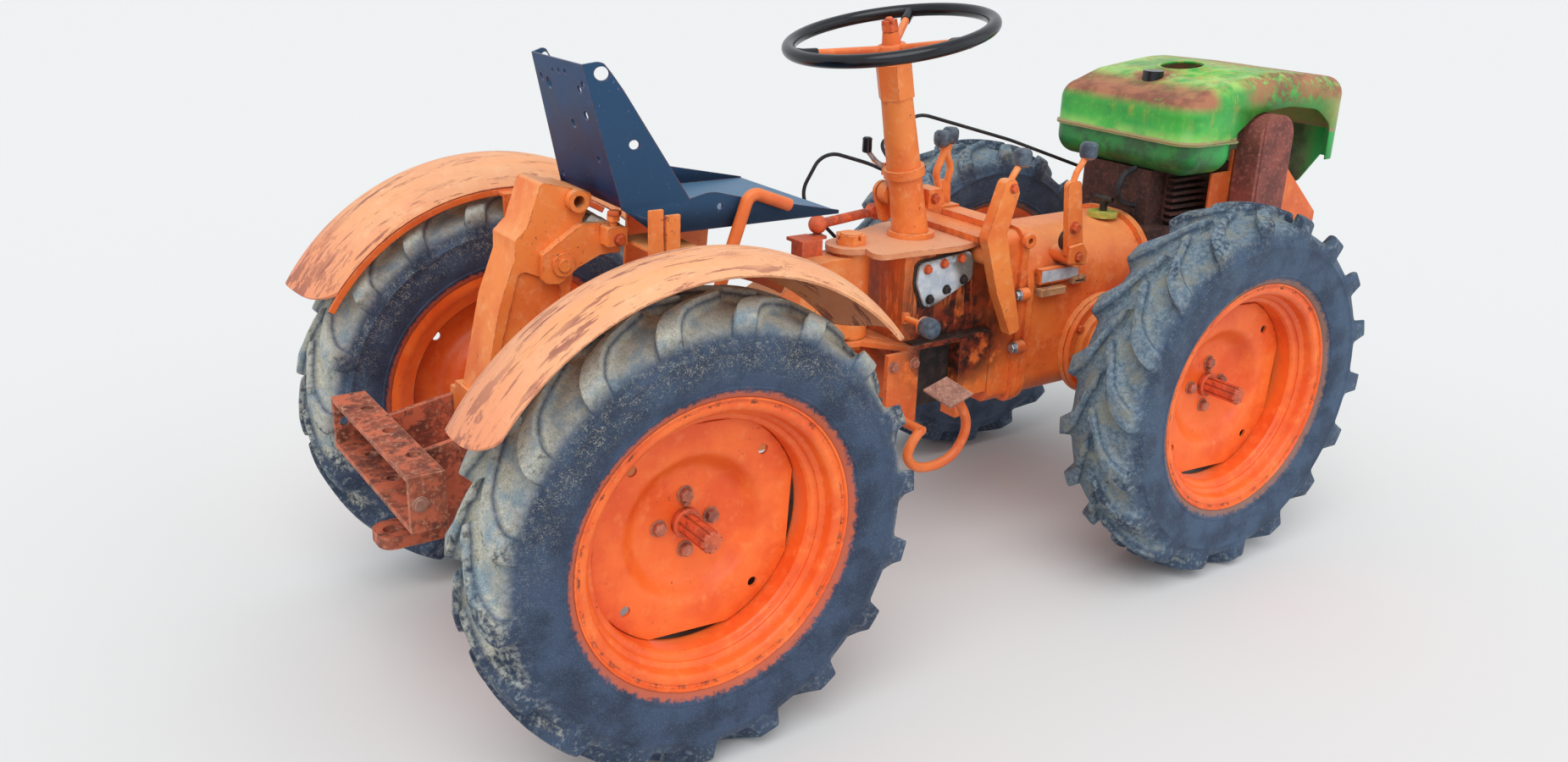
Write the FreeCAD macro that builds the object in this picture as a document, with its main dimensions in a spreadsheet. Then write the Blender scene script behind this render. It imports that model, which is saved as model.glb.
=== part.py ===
import FreeCAD, Part
import math
import os

# Farm tractor with four equal wheels, hinged in its middle. Millimetres.
# +X is forward, +Y is the driver's left, +Z is up.
# The origin is on the ground, under the middle of its length.
# Heights and lengths below are counted from the rear axle unless their note says otherwise.

doc = FreeCAD.newDocument("farm_tractor")
sheet = doc.addObject("Spreadsheet::Sheet", "Sizes")

# Driving sizes: alias, value
SIZES = [
    ("wheelbase", 1157), ("rear_axle_back", 672), ("half_track", 361),
    ("tyre_radius", 356), ("tyre_half_width", 82), ("tread_depth", 20), ("tyre_wall", 12),
    ("rim_flange_radius", 223), ("bead_radius", 203), ("rim_half_width", 69), ("rim_sheet", 4),
    ("well_radius", 182), ("disc_face", 331), ("disc_sheet", 7), ("disc_hole_radius", 11),
    ("disc_hole_circle", 152), ("disc_flat", 165), ("disc_centre_radius", 92), ("disc_dish", 30),
    ("disc_slope", 22),
    ("stub_radius", 17.5), ("stub_end", 412), ("shaft_radius", 24), ("shaft_inner_end", 190),
    ("hub_radius", 62), ("hub_bolt_circle", 88), ("hub_bolt_radius", 11), ("hub_bolt_head", 12),
    ("hub_bolt_shank", 7),
    ("lug_count", 18), ("lug_width", 36), ("lug_sweep", 19),
    ("spline_count", 8), ("spline_depth", 2.5), ("spline_groove", 2.8),
    ("run_gap", 0.06), ("thrust_gap", 0.5), ("side_gap", 6), ("seat_gap", 0.3),
    ("pivot_x", 534), ("pivot_top", 276), ("pivot_bottom", 103), ("pivot_pin_radius", 20),
    ("pivot_barrel_radius", 36), ("plate_sheet", 10), ("pivot_eye_radius", 46),
    ("rear_case_radius", 100), ("rear_case_half", 95), ("axle_tube_radius", 52), ("axle_tube_end", 296),
    ("neck_half", 45), ("neck_front", 395),
    ("fender_gap", 39), ("fender_crown", 20), ("fender_drop", 22), ("fender_inner", 287),
    ("fender_outer", 442),
    ("fender_sheet", 4), ("fender_corner", 44), ("fender_front_angle", 38), ("fender_back_angle", 148),
    ("seat_sheet", 4), ("lift_half", 42), ("lift_eye_radius", 9),
    ("gearbox_half", 115), ("gearbox_front", 860), ("gearbox_top", 288),
    ("gearbox_bottom", -45), ("bell_half", 122), ("bell_top", 268), ("bell_bottom", -50), ("bell_end", 1200),
    ("hood_half", 181), ("hood_back", 1197), ("hood_front", 1700), ("hood_seam", 429),
    ("tank_below_seam", 66),
    ("crank_half", 112), ("crank_top", 250), ("head_half", 84), ("fin_pitch", 14), ("fin_sheet", 6),
    ("hood_skirt", 61), ("hood_tongue", 68), ("tongue_half", 92), ("hood_sheet", 3), ("hood_corner", 40),
    ("hood_crown", 129), ("tank_length", 155), ("tank_seam_lip", 6),
    ("hood_hole_radius", 44), ("fuel_cap_radius", 21),
    ("hitch_reach", 352), ("hitch_depth", 54), ("hitch_half", 180), ("hitch_top", 90), ("hitch_bottom", 4),
    ("hitch_sheet", 8), ("hitch_hole_radius", 11), ("hitch_hole_spacing", 104), ("drawbar_hole_radius", 13),
    ("column_base_x", 672), ("column_lean", 11.5), ("column_length", 322), ("column_base_radius", 34),
    ("column_top_radius", 27), ("steer_shaft_radius", 11), ("wheel_rim_radius", 178),
    ("wheel_rim_grip", 12.6),
    ("wheel_above_column", 49), ("cable_radius", 3.5),
]


class Size:
    """A number with the sheet expression that it comes from, so that a piece can be bound to it."""

    def __init__(self, value, text=None):
        self.value = float(value)
        self.text = text or repr(float(value))

    def _join(self, other, sign, value, swapped=False):
        other = other if isinstance(other, Size) else Size(other)
        first, second = (other, self) if swapped else (self, other)
        return Size(value(first.value, second.value), "(%s %s %s)" % (first.text, sign, second.text))

    def __add__(self, other):
        return self._join(other, "+", lambda a, b: a + b)

    def __radd__(self, other):
        return self._join(other, "+", lambda a, b: a + b, True)

    def __sub__(self, other):
        return self._join(other, "-", lambda a, b: a - b)

    def __rsub__(self, other):
        return self._join(other, "-", lambda a, b: a - b, True)

    def __mul__(self, other):
        return self._join(other, "*", lambda a, b: a * b)

    def __rmul__(self, other):
        return self._join(other, "*", lambda a, b: a * b, True)

    def __truediv__(self, other):
        return self._join(other, "/", lambda a, b: a / b)

    def __neg__(self):
        return Size(0) - self

    def __float__(self):
        return self.value

    def __lt__(self, other):
        return self.value < float(other)


class Sizes:
    """The sheet's cells by name, and sizes that follow from them."""


S = Sizes()
for row, (alias, value) in enumerate(SIZES, 1):
    sheet.set("A%d" % row, alias)
    sheet.set("B%d" % row, str(value))
    sheet.setAlias("B%d" % row, alias)
    setattr(S, alias, Size(value, "Sizes." + alias))
S.fender_radius = S.tyre_radius + S.fender_gap
S.tank_bottom = S.hood_seam - S.tank_below_seam
S.hood_bottom = S.hood_seam - S.hood_skirt
S.wheel_height = S.column_length + S.wheel_above_column
S.hitch_back = -S.hitch_reach
doc.recompute()

X, Y, Z = FreeCAD.Vector(1, 0, 0), FreeCAD.Vector(0, 1, 0), FreeCAD.Vector(0, 0, 1)
AXIS = {"x": (Y, 90), "y": (X, -90), "z": (Z, 0)}
pieces = []
used = [0]


def ahead(distance):
    """The X of a point so far ahead of the rear axle."""
    return distance - S.rear_axle_back


def above(distance):
    """The Z of a point so far above the axles."""
    return distance + S.tyre_radius


def from_axle(*points):
    """Points (x, z) or (x, z, r) counted from the rear axle, in the tractor's own frame."""
    return [(ahead(point[0]), above(point[1])) + point[2:] for point in points]


def name_for(kind):
    used[0] += 1
    return "%s%03d" % (kind, used[0])


def bind(thing, prop, size):
    if isinstance(size, Size):
        thing.setExpression(prop, size.text)
    else:
        setattr(thing, prop, size)


def put(thing, place, turn=None):
    """Places a feature, each coordinate bound where it comes from the sheet."""
    axis, angle = turn or (Z, 0)
    thing.Placement = FreeCAD.Placement(FreeCAD.Vector(*[float(c) for c in place]),
                                        FreeCAD.Rotation(axis, angle))
    for letter, size in zip("xyz", place):
        if isinstance(size, Size):
            thing.setExpression("Placement.Base." + letter, size.text)
    return thing


def box(x0, x1, y0, y1, z0, z1):
    thing = doc.addObject("Part::Box", name_for("Box"))
    bind(thing, "Length", x1 - x0)
    bind(thing, "Width", y1 - y0)
    bind(thing, "Height", z1 - z0)
    return put(thing, (x0, y0, z0))


def rod(direction, radius, start, length):
    """A cylinder from start, towards +direction."""
    thing = doc.addObject("Part::Cylinder", name_for("Rod"))
    bind(thing, "Radius", radius)
    bind(thing, "Height", length)
    return put(thing, start, AXIS[direction])


def hexagon(radius, start, length):
    """An upright hexagonal prism."""
    thing = doc.addObject("Part::Prism", name_for("Hexagon"))
    thing.Polygon = 6
    bind(thing, "Circumradius", radius)
    bind(thing, "Height", length)
    return put(thing, start)


def cone(direction, radius0, radius1, start, length):
    thing = doc.addObject("Part::Cone", name_for("Cone"))
    bind(thing, "Radius1", radius0)
    bind(thing, "Radius2", radius1)
    bind(thing, "Height", length)
    return put(thing, start, AXIS[direction])


def fuse(*parts):
    thing = doc.addObject("Part::MultiFuse", name_for("Fuse"))
    thing.Shapes = list(parts)
    thing.Refine = True
    return thing


def cut(base, *tools):
    for tool in tools:
        thing = doc.addObject("Part::Cut", name_for("Cut"))
        thing.Base = base
        thing.Tool = tool
        base = thing
    return base


def common(*parts):
    thing = doc.addObject("Part::MultiCommon", name_for("Common"))
    thing.Shapes = list(parts)
    return thing


def computed(shape):
    """A feature whose shape is worked out here from the sheet's sizes."""
    thing = doc.addObject("Part::Feature", name_for("Shape"))
    thing.Shape = shape
    return thing


def mirrored(thing):
    """The same piece on the other side of the tractor."""
    twin = doc.addObject("Part::Mirroring", name_for("Mirror"))
    twin.Source = thing
    twin.Normal = Y
    return twin


def both(thing):
    return fuse(thing, mirrored(thing))


def pair(thing):
    """Two pieces, left and right, that don't touch."""
    twins = doc.addObject("Part::Compound", name_for("Pair"))
    twins.Links = [thing, mirrored(thing)]
    return twins


def piece(label, thing):
    thing.Label = label
    pieces.append(thing)
    return thing


def corner_edges(points, closed=True):
    """Lines through points (u, v) or (u, v, r), with an arc of radius r at the corners that have one."""
    flat = [FreeCAD.Vector(float(p[0]), float(p[1]), 0) for p in points]
    radii = [float(p[2]) if len(p) > 2 else 0 for p in points]
    count = len(flat)
    ends = []
    for i, corner in enumerate(flat):
        if not radii[i]:
            ends.append((corner, None, corner))
            continue
        back = (flat[i - 1] - corner).normalize()
        on = (flat[(i + 1) % count] - corner).normalize()
        half = back.getAngle(on) / 2
        reach = radii[i] / math.tan(half)
        middle = corner + (back + on).normalize() * (radii[i] / math.sin(half) - radii[i])
        ends.append((corner + back * reach, middle, corner + on * reach))
    edges = []
    for i in range(count if closed else count - 1):
        start, stop = ends[i][2], ends[(i + 1) % count][0]
        if (stop - start).Length > 1e-6:
            edges.append(Part.LineSegment(start, stop))
    for start, middle, stop in ends:
        if middle is not None:
            edges.append(Part.Arc(start, middle, stop))
    return edges


def sketch_in(body, plane, at, points):
    """A closed sketch on one of the body's own planes, moved off it by at."""
    sketch = body.newObject("Sketcher::SketchObject", name_for("Sketch"))
    origin = next(f for f in body.Origin.OriginFeatures if f.Role == plane)
    sketch.AttachmentSupport = [(origin, "")]
    sketch.MapMode = "FlatFace"
    sketch.AttachmentOffset = FreeCAD.Placement(FreeCAD.Vector(0, 0, float(at)), FreeCAD.Rotation())
    if isinstance(at, Size):
        sketch.setExpression("AttachmentOffset.Base.z", at.text)
    sketch.addGeometry(corner_edges(points), False)
    return sketch


def slab(plane, at, depth, points):
    """A plate of the outline points. XZ plates are drawn in (x, z) and reach from y = -at towards +Y."""
    body = doc.addObject("PartDesign::Body", name_for("Body"))
    sketch = sketch_in(body, plane, at, points)
    pad = body.newObject("PartDesign::Pad", name_for("Pad"))
    pad.Profile = sketch
    bind(pad, "Length", depth)
    pad.Reversed = plane == "XZ_Plane"
    return body


def side_plate(y0, y1, points):
    """A plate with its outline in (x, z), from y0 to y1."""
    return slab("XZ_Plane", -y0 if isinstance(y0, Size) else -1 * y0, y1 - y0, points)


def flat_plate(z0, z1, points):
    """A plate with its outline in (x, y), from z0 to z1."""
    return slab("XY_Plane", z0, z1 - z0, points)


def cross_plate(x0, x1, points):
    """A plate with its outline in (y, z), from x0 to x1."""
    return slab("YZ_Plane", x0, x1 - x0, points)


def turned(points, x, z):
    """A ring turned about the Y axis through (x, z), with its profile in (y, radius)."""
    body = doc.addObject("PartDesign::Body", name_for("Body"))
    sketch = sketch_in(body, "XY_Plane", 0, [(p[1], p[0]) + tuple(p[2:]) for p in points])
    turn = body.newObject("PartDesign::Revolution", name_for("Turn"))
    turn.Profile = sketch
    turn.ReferenceAxis = (sketch, ["V_Axis"])
    turn.Angle = 360
    return put(body, (x, 0, z))


def bent_tube(points, radius):
    """A round bar along straight runs joined by arcs: points (x, y, z, bend radius)."""
    spots = [FreeCAD.Vector(*[float(c) for c in p[:3]]) for p in points]
    edges = []
    start = spots[0]
    for i in range(1, len(spots) - 1):
        back = (spots[i - 1] - spots[i]).normalize()
        on = (spots[i + 1] - spots[i]).normalize()
        half = back.getAngle(on) / 2
        bend = float(points[i][3])
        reach = bend / math.tan(half)
        middle = spots[i] + (back + on).normalize() * (bend / math.sin(half) - bend)
        edges.append(Part.LineSegment(start, spots[i] + back * reach).toShape())
        edges.append(Part.Arc(spots[i] + back * reach, middle, spots[i] + on * reach).toShape())
        start = spots[i] + on * reach
    edges.append(Part.LineSegment(start, spots[-1]).toShape())
    path = Part.Wire(edges)
    ring = Part.Wire(Part.Circle(spots[0], (spots[1] - spots[0]), float(radius)).toShape())
    return computed(path.makePipeShell([ring], True, True))


def hull_of(round_a, round_b):
    """Outline round two circles (u, v, radius), as points with round corners."""
    (ua, va, ra), (ub, vb, rb) = [[float(c) for c in r] for r in (round_a, round_b)]
    run = math.hypot(ub - ua, vb - va)
    along = ((ub - ua) / run, (vb - va) / run)
    lean = math.asin((ra - rb) / run)
    points = []
    for side in (1, -1):
        spots = []
        for (u, v, r) in ((ua, va, ra), (ub, vb, rb)):
            nx = along[0] * math.sin(lean) - side * along[1] * math.cos(lean)
            ny = along[1] * math.sin(lean) + side * along[0] * math.cos(lean)
            spots.append((u + nx * r, v + ny * r))
        points.append(spots)
    (a1, b1), (a2, b2) = points
    tip_a = (ua - along[0] * ra, va - along[1] * ra)
    tip_b = (ub + along[0] * rb, vb + along[1] * rb)
    return a1, b1, tip_b, b2, a2, tip_a


def link_plate(y0, y1, round_a, round_b):
    """A plate round two circles (x, z, radius), from y0 to y1."""
    a1, b1, tip_b, b2, a2, tip_a = [FreeCAD.Vector(p[0], float(y0), p[1]) for p in hull_of(round_a, round_b)]
    edges = [Part.LineSegment(a1, b1), Part.Arc(b1, tip_b, b2), Part.LineSegment(b2, a2),
             Part.Arc(a2, tip_a, a1)]
    face = Part.Face(Part.Wire([e.toShape() for e in edges]))
    return computed(face.extrude(Y * float(y1 - y0)))


# Wheels. Each is drawn on the right, at y below 0, and mirrored to the left.

def tyre_carcass():
    """A farm tyre without its lugs, open between its beads, about the wheel's own centre."""
    middle, half, wall = S.half_track, S.tyre_half_width, S.tyre_wall
    flange, bead = S.rim_flange_radius, S.rim_half_width - S.rim_sheet
    height = S.tyre_radius - S.tread_depth - flange
    outside = [(bead, S.bead_radius), (bead, flange), (half, flange + height * 0.54),
               (half * 0.93, flange + height * 0.88), (0, flange + height)]
    crown = flange + height - wall
    inside = [(0, crown), (half - 22, crown - 10), (half - wall, flange + height * 0.5),
              (bead - wall, flange + height * 0.05), (bead - wall, S.bead_radius)]
    near = [(-middle - d, r) for d, r in outside + inside]
    far = [(-middle + d, r) for d, r in reversed(outside[:-1])]
    far_inside = [(-middle + d, r) for d, r in reversed(inside[1:])]
    return turned(near[:5] + far + far_inside + near[5:], 0, 0)


def lug(side, turn):
    """One bar of the tread: swept back from past the middle to the shoulder, then down the side wall."""
    half, tip, depth = float(S.tyre_half_width), float(S.tyre_radius), float(S.tread_depth)
    flange, sweep, width = float(S.rim_flange_radius), float(S.lug_sweep), float(S.lug_width)
    height = tip - depth - flange
    # Shares of the half width at the tip and at the root, of the sweep, of the carcass height at the tip
    # and at the root, of the tread depth that the tip adds, and of the width
    stations = ((-0.06, -0.06, 0, 1, 0.95, 1, 0.7), (0.42, 0.42, 0.66, 0.98, 0.92, 1, 0.9),
                (0.93, 0.9, 1, 0.89, 0.82, 1, 1), (1.02, 0.88, 1.04, 0.68, 0.47, 0, 0.9))
    rings = []
    for tip_at, root_at, along, high, low, added, wide in stations:
        corners = []
        for share, radius, half_wide, edges in (
                (tip_at, flange + height * high + depth * added, width * wide / 2, (-1, 1)),
                (root_at, flange + height * low, width * wide / 2 + depth / 3, (1, -1))):
            for edge in edges:
                angle = math.radians(turn - sweep * along) + edge * half_wide / tip
                corners.append(FreeCAD.Vector(radius * math.sin(angle),
                                              -float(S.half_track) - side * half * share,
                                              radius * math.cos(angle)))
        rings.append(corners)
    first, last = rings[0], rings[-1]
    faces = [(first[0], first[1], first[2]), (first[0], first[2], first[3]),
             (last[0], last[1], last[2]), (last[0], last[2], last[3])]
    for near, far in zip(rings, rings[1:]):
        for i in range(4):
            faces += [(near[i], near[i - 1], far[i - 1]), (near[i], far[i - 1], far[i])]
    solid = Part.Solid(Part.Shell([Part.Face(Part.makePolygon(list(f) + [f[0]])) for f in faces]))
    return solid if solid.Volume > 0 else solid.reversed()


def tyre_with_lugs():
    """The carcass and its bars, staggered by half a step from one side to the other."""
    step = 360 / float(S.lug_count)
    carcass = tyre_carcass()
    doc.recompute()
    lugs = [lug(side, step * (number + (0.5 if side > 0 else 0)))
            for side in (-1, 1) for number in range(int(float(S.lug_count)))]
    return carcass.Shape.fuse(lugs)


tyre_shape = tyre_with_lugs()


def tyre(x):
    return put(computed(tyre_shape), (x, 0, S.tyre_radius))


def rim(x):
    """A pressed rim with its flanges and well, and its dished disc with four flats and four holes."""
    middle, half, sheet_wall = S.half_track, S.rim_half_width, S.rim_sheet
    well_out, well_in, step = 28, 53, 6
    top, seat, well = S.rim_flange_radius, S.bead_radius, S.well_radius
    tyre_side = [(-half + sheet_wall, top), (-half + sheet_wall, seat), (-well_out - 14, seat),
                 (-well_out, well),
                 (well_in, well), (well_in + step, seat), (half - sheet_wall, seat), (half - sheet_wall, top)]
    open_side = [(half, top), (half, seat - sheet_wall), (well_in + step + 1, seat - sheet_wall),
                 (well_in + 1, well - sheet_wall), (-well_out - 2, well - sheet_wall),
                 (-well_out - 7, well + 8), (-well_out - 12, well + 8),
                 (-well_out - 16, seat - sheet_wall), (-half, seat - sheet_wall), (-half, top)]
    barrel = turned([(-middle + d, r) for d, r in tyre_side + open_side], x, S.tyre_radius)
    face, thick, edge = S.disc_face, S.disc_sheet, S.well_radius - S.rim_sheet
    ring_face, bend = face + S.disc_dish, thick / 2
    centre, slope = S.disc_centre_radius, S.disc_slope
    disc = turned([(-face, 0), (-face, centre), (-ring_face, centre + slope), (-ring_face, edge),
                   (-ring_face + thick, edge), (-ring_face + thick, centre + slope + bend),
                   (-face + thick, centre + bend), (-face + thick, 0)], x, S.tyre_radius)
    flat = S.disc_flat
    square = box(x - flat, x + flat, -ring_face - thick, -face + thick * 2, S.tyre_radius - flat,
                 S.tyre_radius + flat)
    disc = common(disc, square)
    reach = S.disc_hole_circle * math.sqrt(0.5)
    holes = [rod("y", S.disc_hole_radius, (x + reach * i, -ring_face - thick, S.tyre_radius + reach * k),
                 thick * 3)
             for i in (-1, 1) for k in (-1, 1)]
    ring = S.hub_bolt_circle / 2
    holes += [rod("y", S.hub_bolt_shank, (x + ring * i, -face - thick, S.tyre_radius + ring * k), thick * 4)
              for i, k in ((1, 0), (-1, 0), (0, 1), (0, -1))]
    holes.append(rod("y", S.stub_radius + 5, (x, -face - thick, S.tyre_radius), thick * 4))
    return fuse(barrel, cut(disc, *holes))


def hub(x):
    """The live axle shaft, its flange behind the disc, its bare outer end, and the bolt heads."""
    face, thick = S.disc_face, S.disc_sheet
    back = S.axle_tube_end + S.side_gap
    z = S.tyre_radius
    flange = rod("y", S.hub_radius, (x, -face + thick, z), face - thick - back)
    shaft = rod("y", S.shaft_radius, (x, -face + thick, z), face - thick - S.shaft_inner_end)
    stub = rod("y", S.stub_radius, (x, -S.stub_end, z), S.stub_end - face + thick)
    collar = rod("y", S.stub_radius + 5, (x, -face - 9, z), 9 + thick)
    ring = S.hub_bolt_circle / 2
    bolts = []
    for i, k in ((1, 0), (-1, 0), (0, 1), (0, -1)):
        spot = (x + ring * i, -face - S.hub_bolt_head, z + ring * k)
        bolts += [rod("y", S.hub_bolt_radius, spot, S.hub_bolt_head),
                  rod("y", S.hub_bolt_shank, spot, S.hub_bolt_head + thick * 2)]
    return fuse(flange, shaft, cut(stub, spline_grooves(x)), collar, *bolts)


def spline_grooves(x):
    """The grooves along the shaft's bare end."""
    count, wide, plain = int(float(S.spline_count)), float(S.spline_groove), 8
    groove = Part.makeBox(float(S.stub_radius), float(S.stub_end - S.disc_face) - plain, wide,
                          FreeCAD.Vector(float(S.stub_radius - S.spline_depth), -float(S.stub_end) - 1,
                                         -wide / 2))
    ring = []
    for number in range(count):
        ring.append(groove.copy())
        ring[-1].rotate(FreeCAD.Vector(), Y, 360 / count * (number + 0.5))
    return put(computed(Part.makeCompound(ring)), (x, 0, S.tyre_radius))


def axle_bore(x):
    """The bores that the live shafts run in, both sides."""
    bore = rod("y", S.shaft_radius + S.run_gap, (x, -S.axle_tube_end - 1, S.tyre_radius),
               S.axle_tube_end - S.shaft_inner_end + 3)
    return both(bore)


rear_x = -S.rear_axle_back
front_x = ahead(S.wheelbase)
for end, x in (("rear", rear_x), ("front", front_x)):
    for maker, kind in ((tyre, "tyre"), (rim, "rim"), (hub, "hub")):
        right = maker(x)
        left = mirrored(right)
        piece("%s_%s_right" % (kind, end), right)
        piece("%s_%s_left" % (kind, end), left)


# Rear half: axle, neck and pivot barrel

def rear_axle_housing():
    z = S.tyre_radius
    case = rod("y", S.rear_case_radius, (rear_x, -S.rear_case_half, z), S.rear_case_half * 2)
    back = box(ahead(-190), rear_x, -S.rear_case_half + 10, S.rear_case_half - 10, above(-72), above(112))
    flange = rod("y", S.rear_case_radius + 12, (rear_x, -S.rear_case_half - 14, z), 14)
    taper = cone("y", S.axle_tube_radius, S.axle_tube_radius + 24, (rear_x, -S.rear_case_half - 80, z), 66)
    tube = rod("y", S.axle_tube_radius, (rear_x, -S.axle_tube_end, z), S.axle_tube_end - S.rear_case_half)
    ring = rod("y", S.axle_tube_radius + 16, (rear_x, -S.axle_tube_end + 26, z), 14)
    return cut(fuse(case, back, both(fuse(flange, taper, tube, ring))), axle_bore(rear_x))


piece("rear_axle_housing", rear_axle_housing())


def pivot_bore(low, high):
    return rod("z", S.pivot_pin_radius + S.run_gap, (ahead(S.pivot_x), 0, low), high - low)


def rear_frame():
    """The neck that rises from the axle to the upright barrel of the middle pivot."""
    half = S.neck_half
    low, high = S.pivot_bottom + S.thrust_gap, S.pivot_top - S.plate_sheet - S.thrust_gap
    top, bottom = high - S.side_gap, low + S.side_gap
    side = [(ahead(S.pivot_x), above(bottom)), (ahead(S.neck_front), above(bottom)),
            (ahead(S.neck_front), above(-30)), (ahead(330), above(-66)), (rear_x, above(-66)),
            (rear_x, above(90)), (ahead(100), above(118)), (ahead(300), above(190)),
            (ahead(440), above(top)), (ahead(S.pivot_x), above(top))]
    neck = side_plate(-half, half, side)
    pinch = both(box(ahead(S.neck_front), ahead(S.pivot_x) + 60, -half - 5, -half + 12, above(low),
                     above(high)))
    lower = side_plate(-half - 30, half + 30, [(rear_x, above(-60)), (ahead(200), above(-60)),
                                               (ahead(250), above(-20)),
                                               (ahead(230), above(70)), (rear_x, above(84))])
    barrel = rod("z", S.pivot_barrel_radius, (ahead(S.pivot_x), 0, above(low)), high - low)
    case = rod("y", S.rear_case_radius, (rear_x, -S.rear_case_half, S.tyre_radius), S.rear_case_half * 2)
    clear = box(ahead(S.pivot_x), ahead(S.pivot_x) + 60, -half * 2, half * 2, above(low) - 1, above(high) + 1)
    shape = fuse(cut(fuse(cut(neck, pinch), lower), case, clear), barrel)
    return cut(shape, pivot_bore(above(low) - 1, above(high) + 1))


piece("rear_frame", rear_frame())

ball_x, ball_y, ball_radius = ahead(488), 40, 17
arm_low = above(S.pivot_top + S.side_gap)
arm_high = arm_low + 6
ball_z = arm_high + 2 + 0.3 + ball_radius


def steering_ball_arm():
    """The bracket on the neck that carries the rear ball of the steering link."""
    neck_top = above(S.pivot_top - S.plate_sheet - S.thrust_gap - S.side_gap)
    foot = box(ahead(432), ahead(476), 6, 40, neck_top, arm_low)
    post = box(ahead(432), ahead(476), 6, 56, arm_low, arm_high)
    tongue = box(ahead(466), ball_x + 12, ball_y - 13, ball_y + 13, arm_low, arm_high)
    stalk = rod("z", 9, (ball_x, ball_y, arm_high), 2)
    return fuse(foot, post, tongue, stalk)


piece("steering_ball_arm", steering_ball_arm())


# Fenders

def fender_section():
    """The fender's crowned section: three points (r, y) on its outside and three on its inside."""
    edge, middle = S.fender_radius, (S.fender_inner + S.fender_outer) * 0.48
    over = [FreeCAD.Vector(float(r), float(y), 0) for r, y in
            ((edge - S.fender_drop, -S.fender_inner), (edge + S.fender_crown, -middle),
             (edge, -S.fender_outer))]
    centre = Part.Arc(*over).toShape().Curve.Center
    return over, [point + (centre - point).normalize() * float(S.fender_sheet) for point in over]


def fender_corner_waste(y, inward, angle, turn):
    """What is cut away to round one corner of the fender, at an end that lies at angle."""
    radius, over, reach = float(S.fender_corner), 5, 60
    bend = radius * (1 - math.sqrt(0.5))
    spots = [FreeCAD.Vector(float(S.fender_radius) - reach, float(y) + inward * across, turn * along)
             for along, across in ((0, radius), (bend, bend), (radius, 0), (radius, -over), (-over, -over),
                                   (-over, radius))]
    edges = [Part.Arc(*spots[:3]).toShape()]
    edges += [Part.LineSegment(start, stop).toShape() for start,
              stop in zip(spots[2:], spots[3:] + spots[:1])]
    waste = Part.Face(Part.Wire(edges)).extrude(X * reach * 2)
    waste.rotate(FreeCAD.Vector(), -Y, float(angle))
    return waste


def fender():
    """The right fender: the section turned about the axle, with its four corners rounded."""
    over, under = fender_section()
    outline = Part.Wire([Part.Arc(*over).toShape(), Part.LineSegment(over[2], under[2]).toShape(),
                         Part.Arc(*reversed(under)).toShape(), Part.LineSegment(under[0], over[0]).toShape()])
    face = Part.Face(outline)
    face.rotate(FreeCAD.Vector(), -Y, float(S.fender_front_angle))
    shape = face.revolve(FreeCAD.Vector(), -Y, float(S.fender_back_angle - S.fender_front_angle))
    corners = [fender_corner_waste(y, inward, angle, turn)
               for y, inward in ((-S.fender_inner, -1), (-S.fender_outer, 1))
               for angle, turn in ((S.fender_front_angle, 1), (S.fender_back_angle, -1))]
    shape = shape.cut(corners)
    shape.translate(FreeCAD.Vector(float(rear_x), 0, float(S.tyre_radius)))
    return computed(shape)


right_fender = fender()
piece("fender_right", right_fender)
piece("fender_left", mirrored(right_fender))


def fender_stay():
    """The post on the axle tube and the curved strap that the fender's inner edge rests on."""
    z = S.tyre_radius
    under = float(fender_section()[1][0].x) - S.seat_gap
    wide = 6
    strap = rod("y", under, (rear_x, -S.fender_inner - wide, z), wide)
    strap = cut(strap, rod("y", under - 11, (rear_x, -S.fender_inner - wide - 1, z), wide + 2))
    wedge = side_plate(-S.fender_inner - wide - 1, -S.fender_inner + 6,
                       [(rear_x, z), (ahead(300), above(500)), (ahead(-420), above(500)),
                        (ahead(-420), above(260))])
    strap = common(strap, wedge)
    foot = box(ahead(-14), ahead(26), -S.fender_inner - wide, -S.fender_inner + 28, z + under - 9,
               z + under - 3)
    post = box(ahead(-14), ahead(26), -S.fender_inner + 20, -S.fender_inner + 28,
               z + S.axle_tube_radius, z + under - 3)
    tube = rod("y", S.axle_tube_radius + 16, (rear_x, -S.axle_tube_end, z), S.axle_tube_end)
    return cut(fuse(strap, foot, post), tube)


piece("fender_stays", pair(fender_stay()))


# Seat

# The seat's corners: ahead of the rear axle, half width, above the axles
seat_top, seat_bend, seat_foot = (-30, 86, 623), (22, 105, 412), (112, 150, 429)
seat_low, seat_tip = (98, 379), (391, 377)


def wing_sheet():
    """A flat sheet through the fold of the seat's back and the wing's foot, larger than the wing."""
    top, bend, foot = [FreeCAD.Vector(float(ahead(u)), v, float(above(w))) for u, v,
                       w in (seat_top, seat_bend, seat_foot)]
    down, out = bend - top, foot - top
    spots = [top - down * 0.3, top - down * 0.3 + out * 1.2, bend + down * 0.2 + out * 1.2, bend + down * 0.2]
    face = Part.Face(Part.makePolygon(spots + spots[:1]))
    return computed(face.extrude(-Y * float(S.seat_sheet)))


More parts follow.
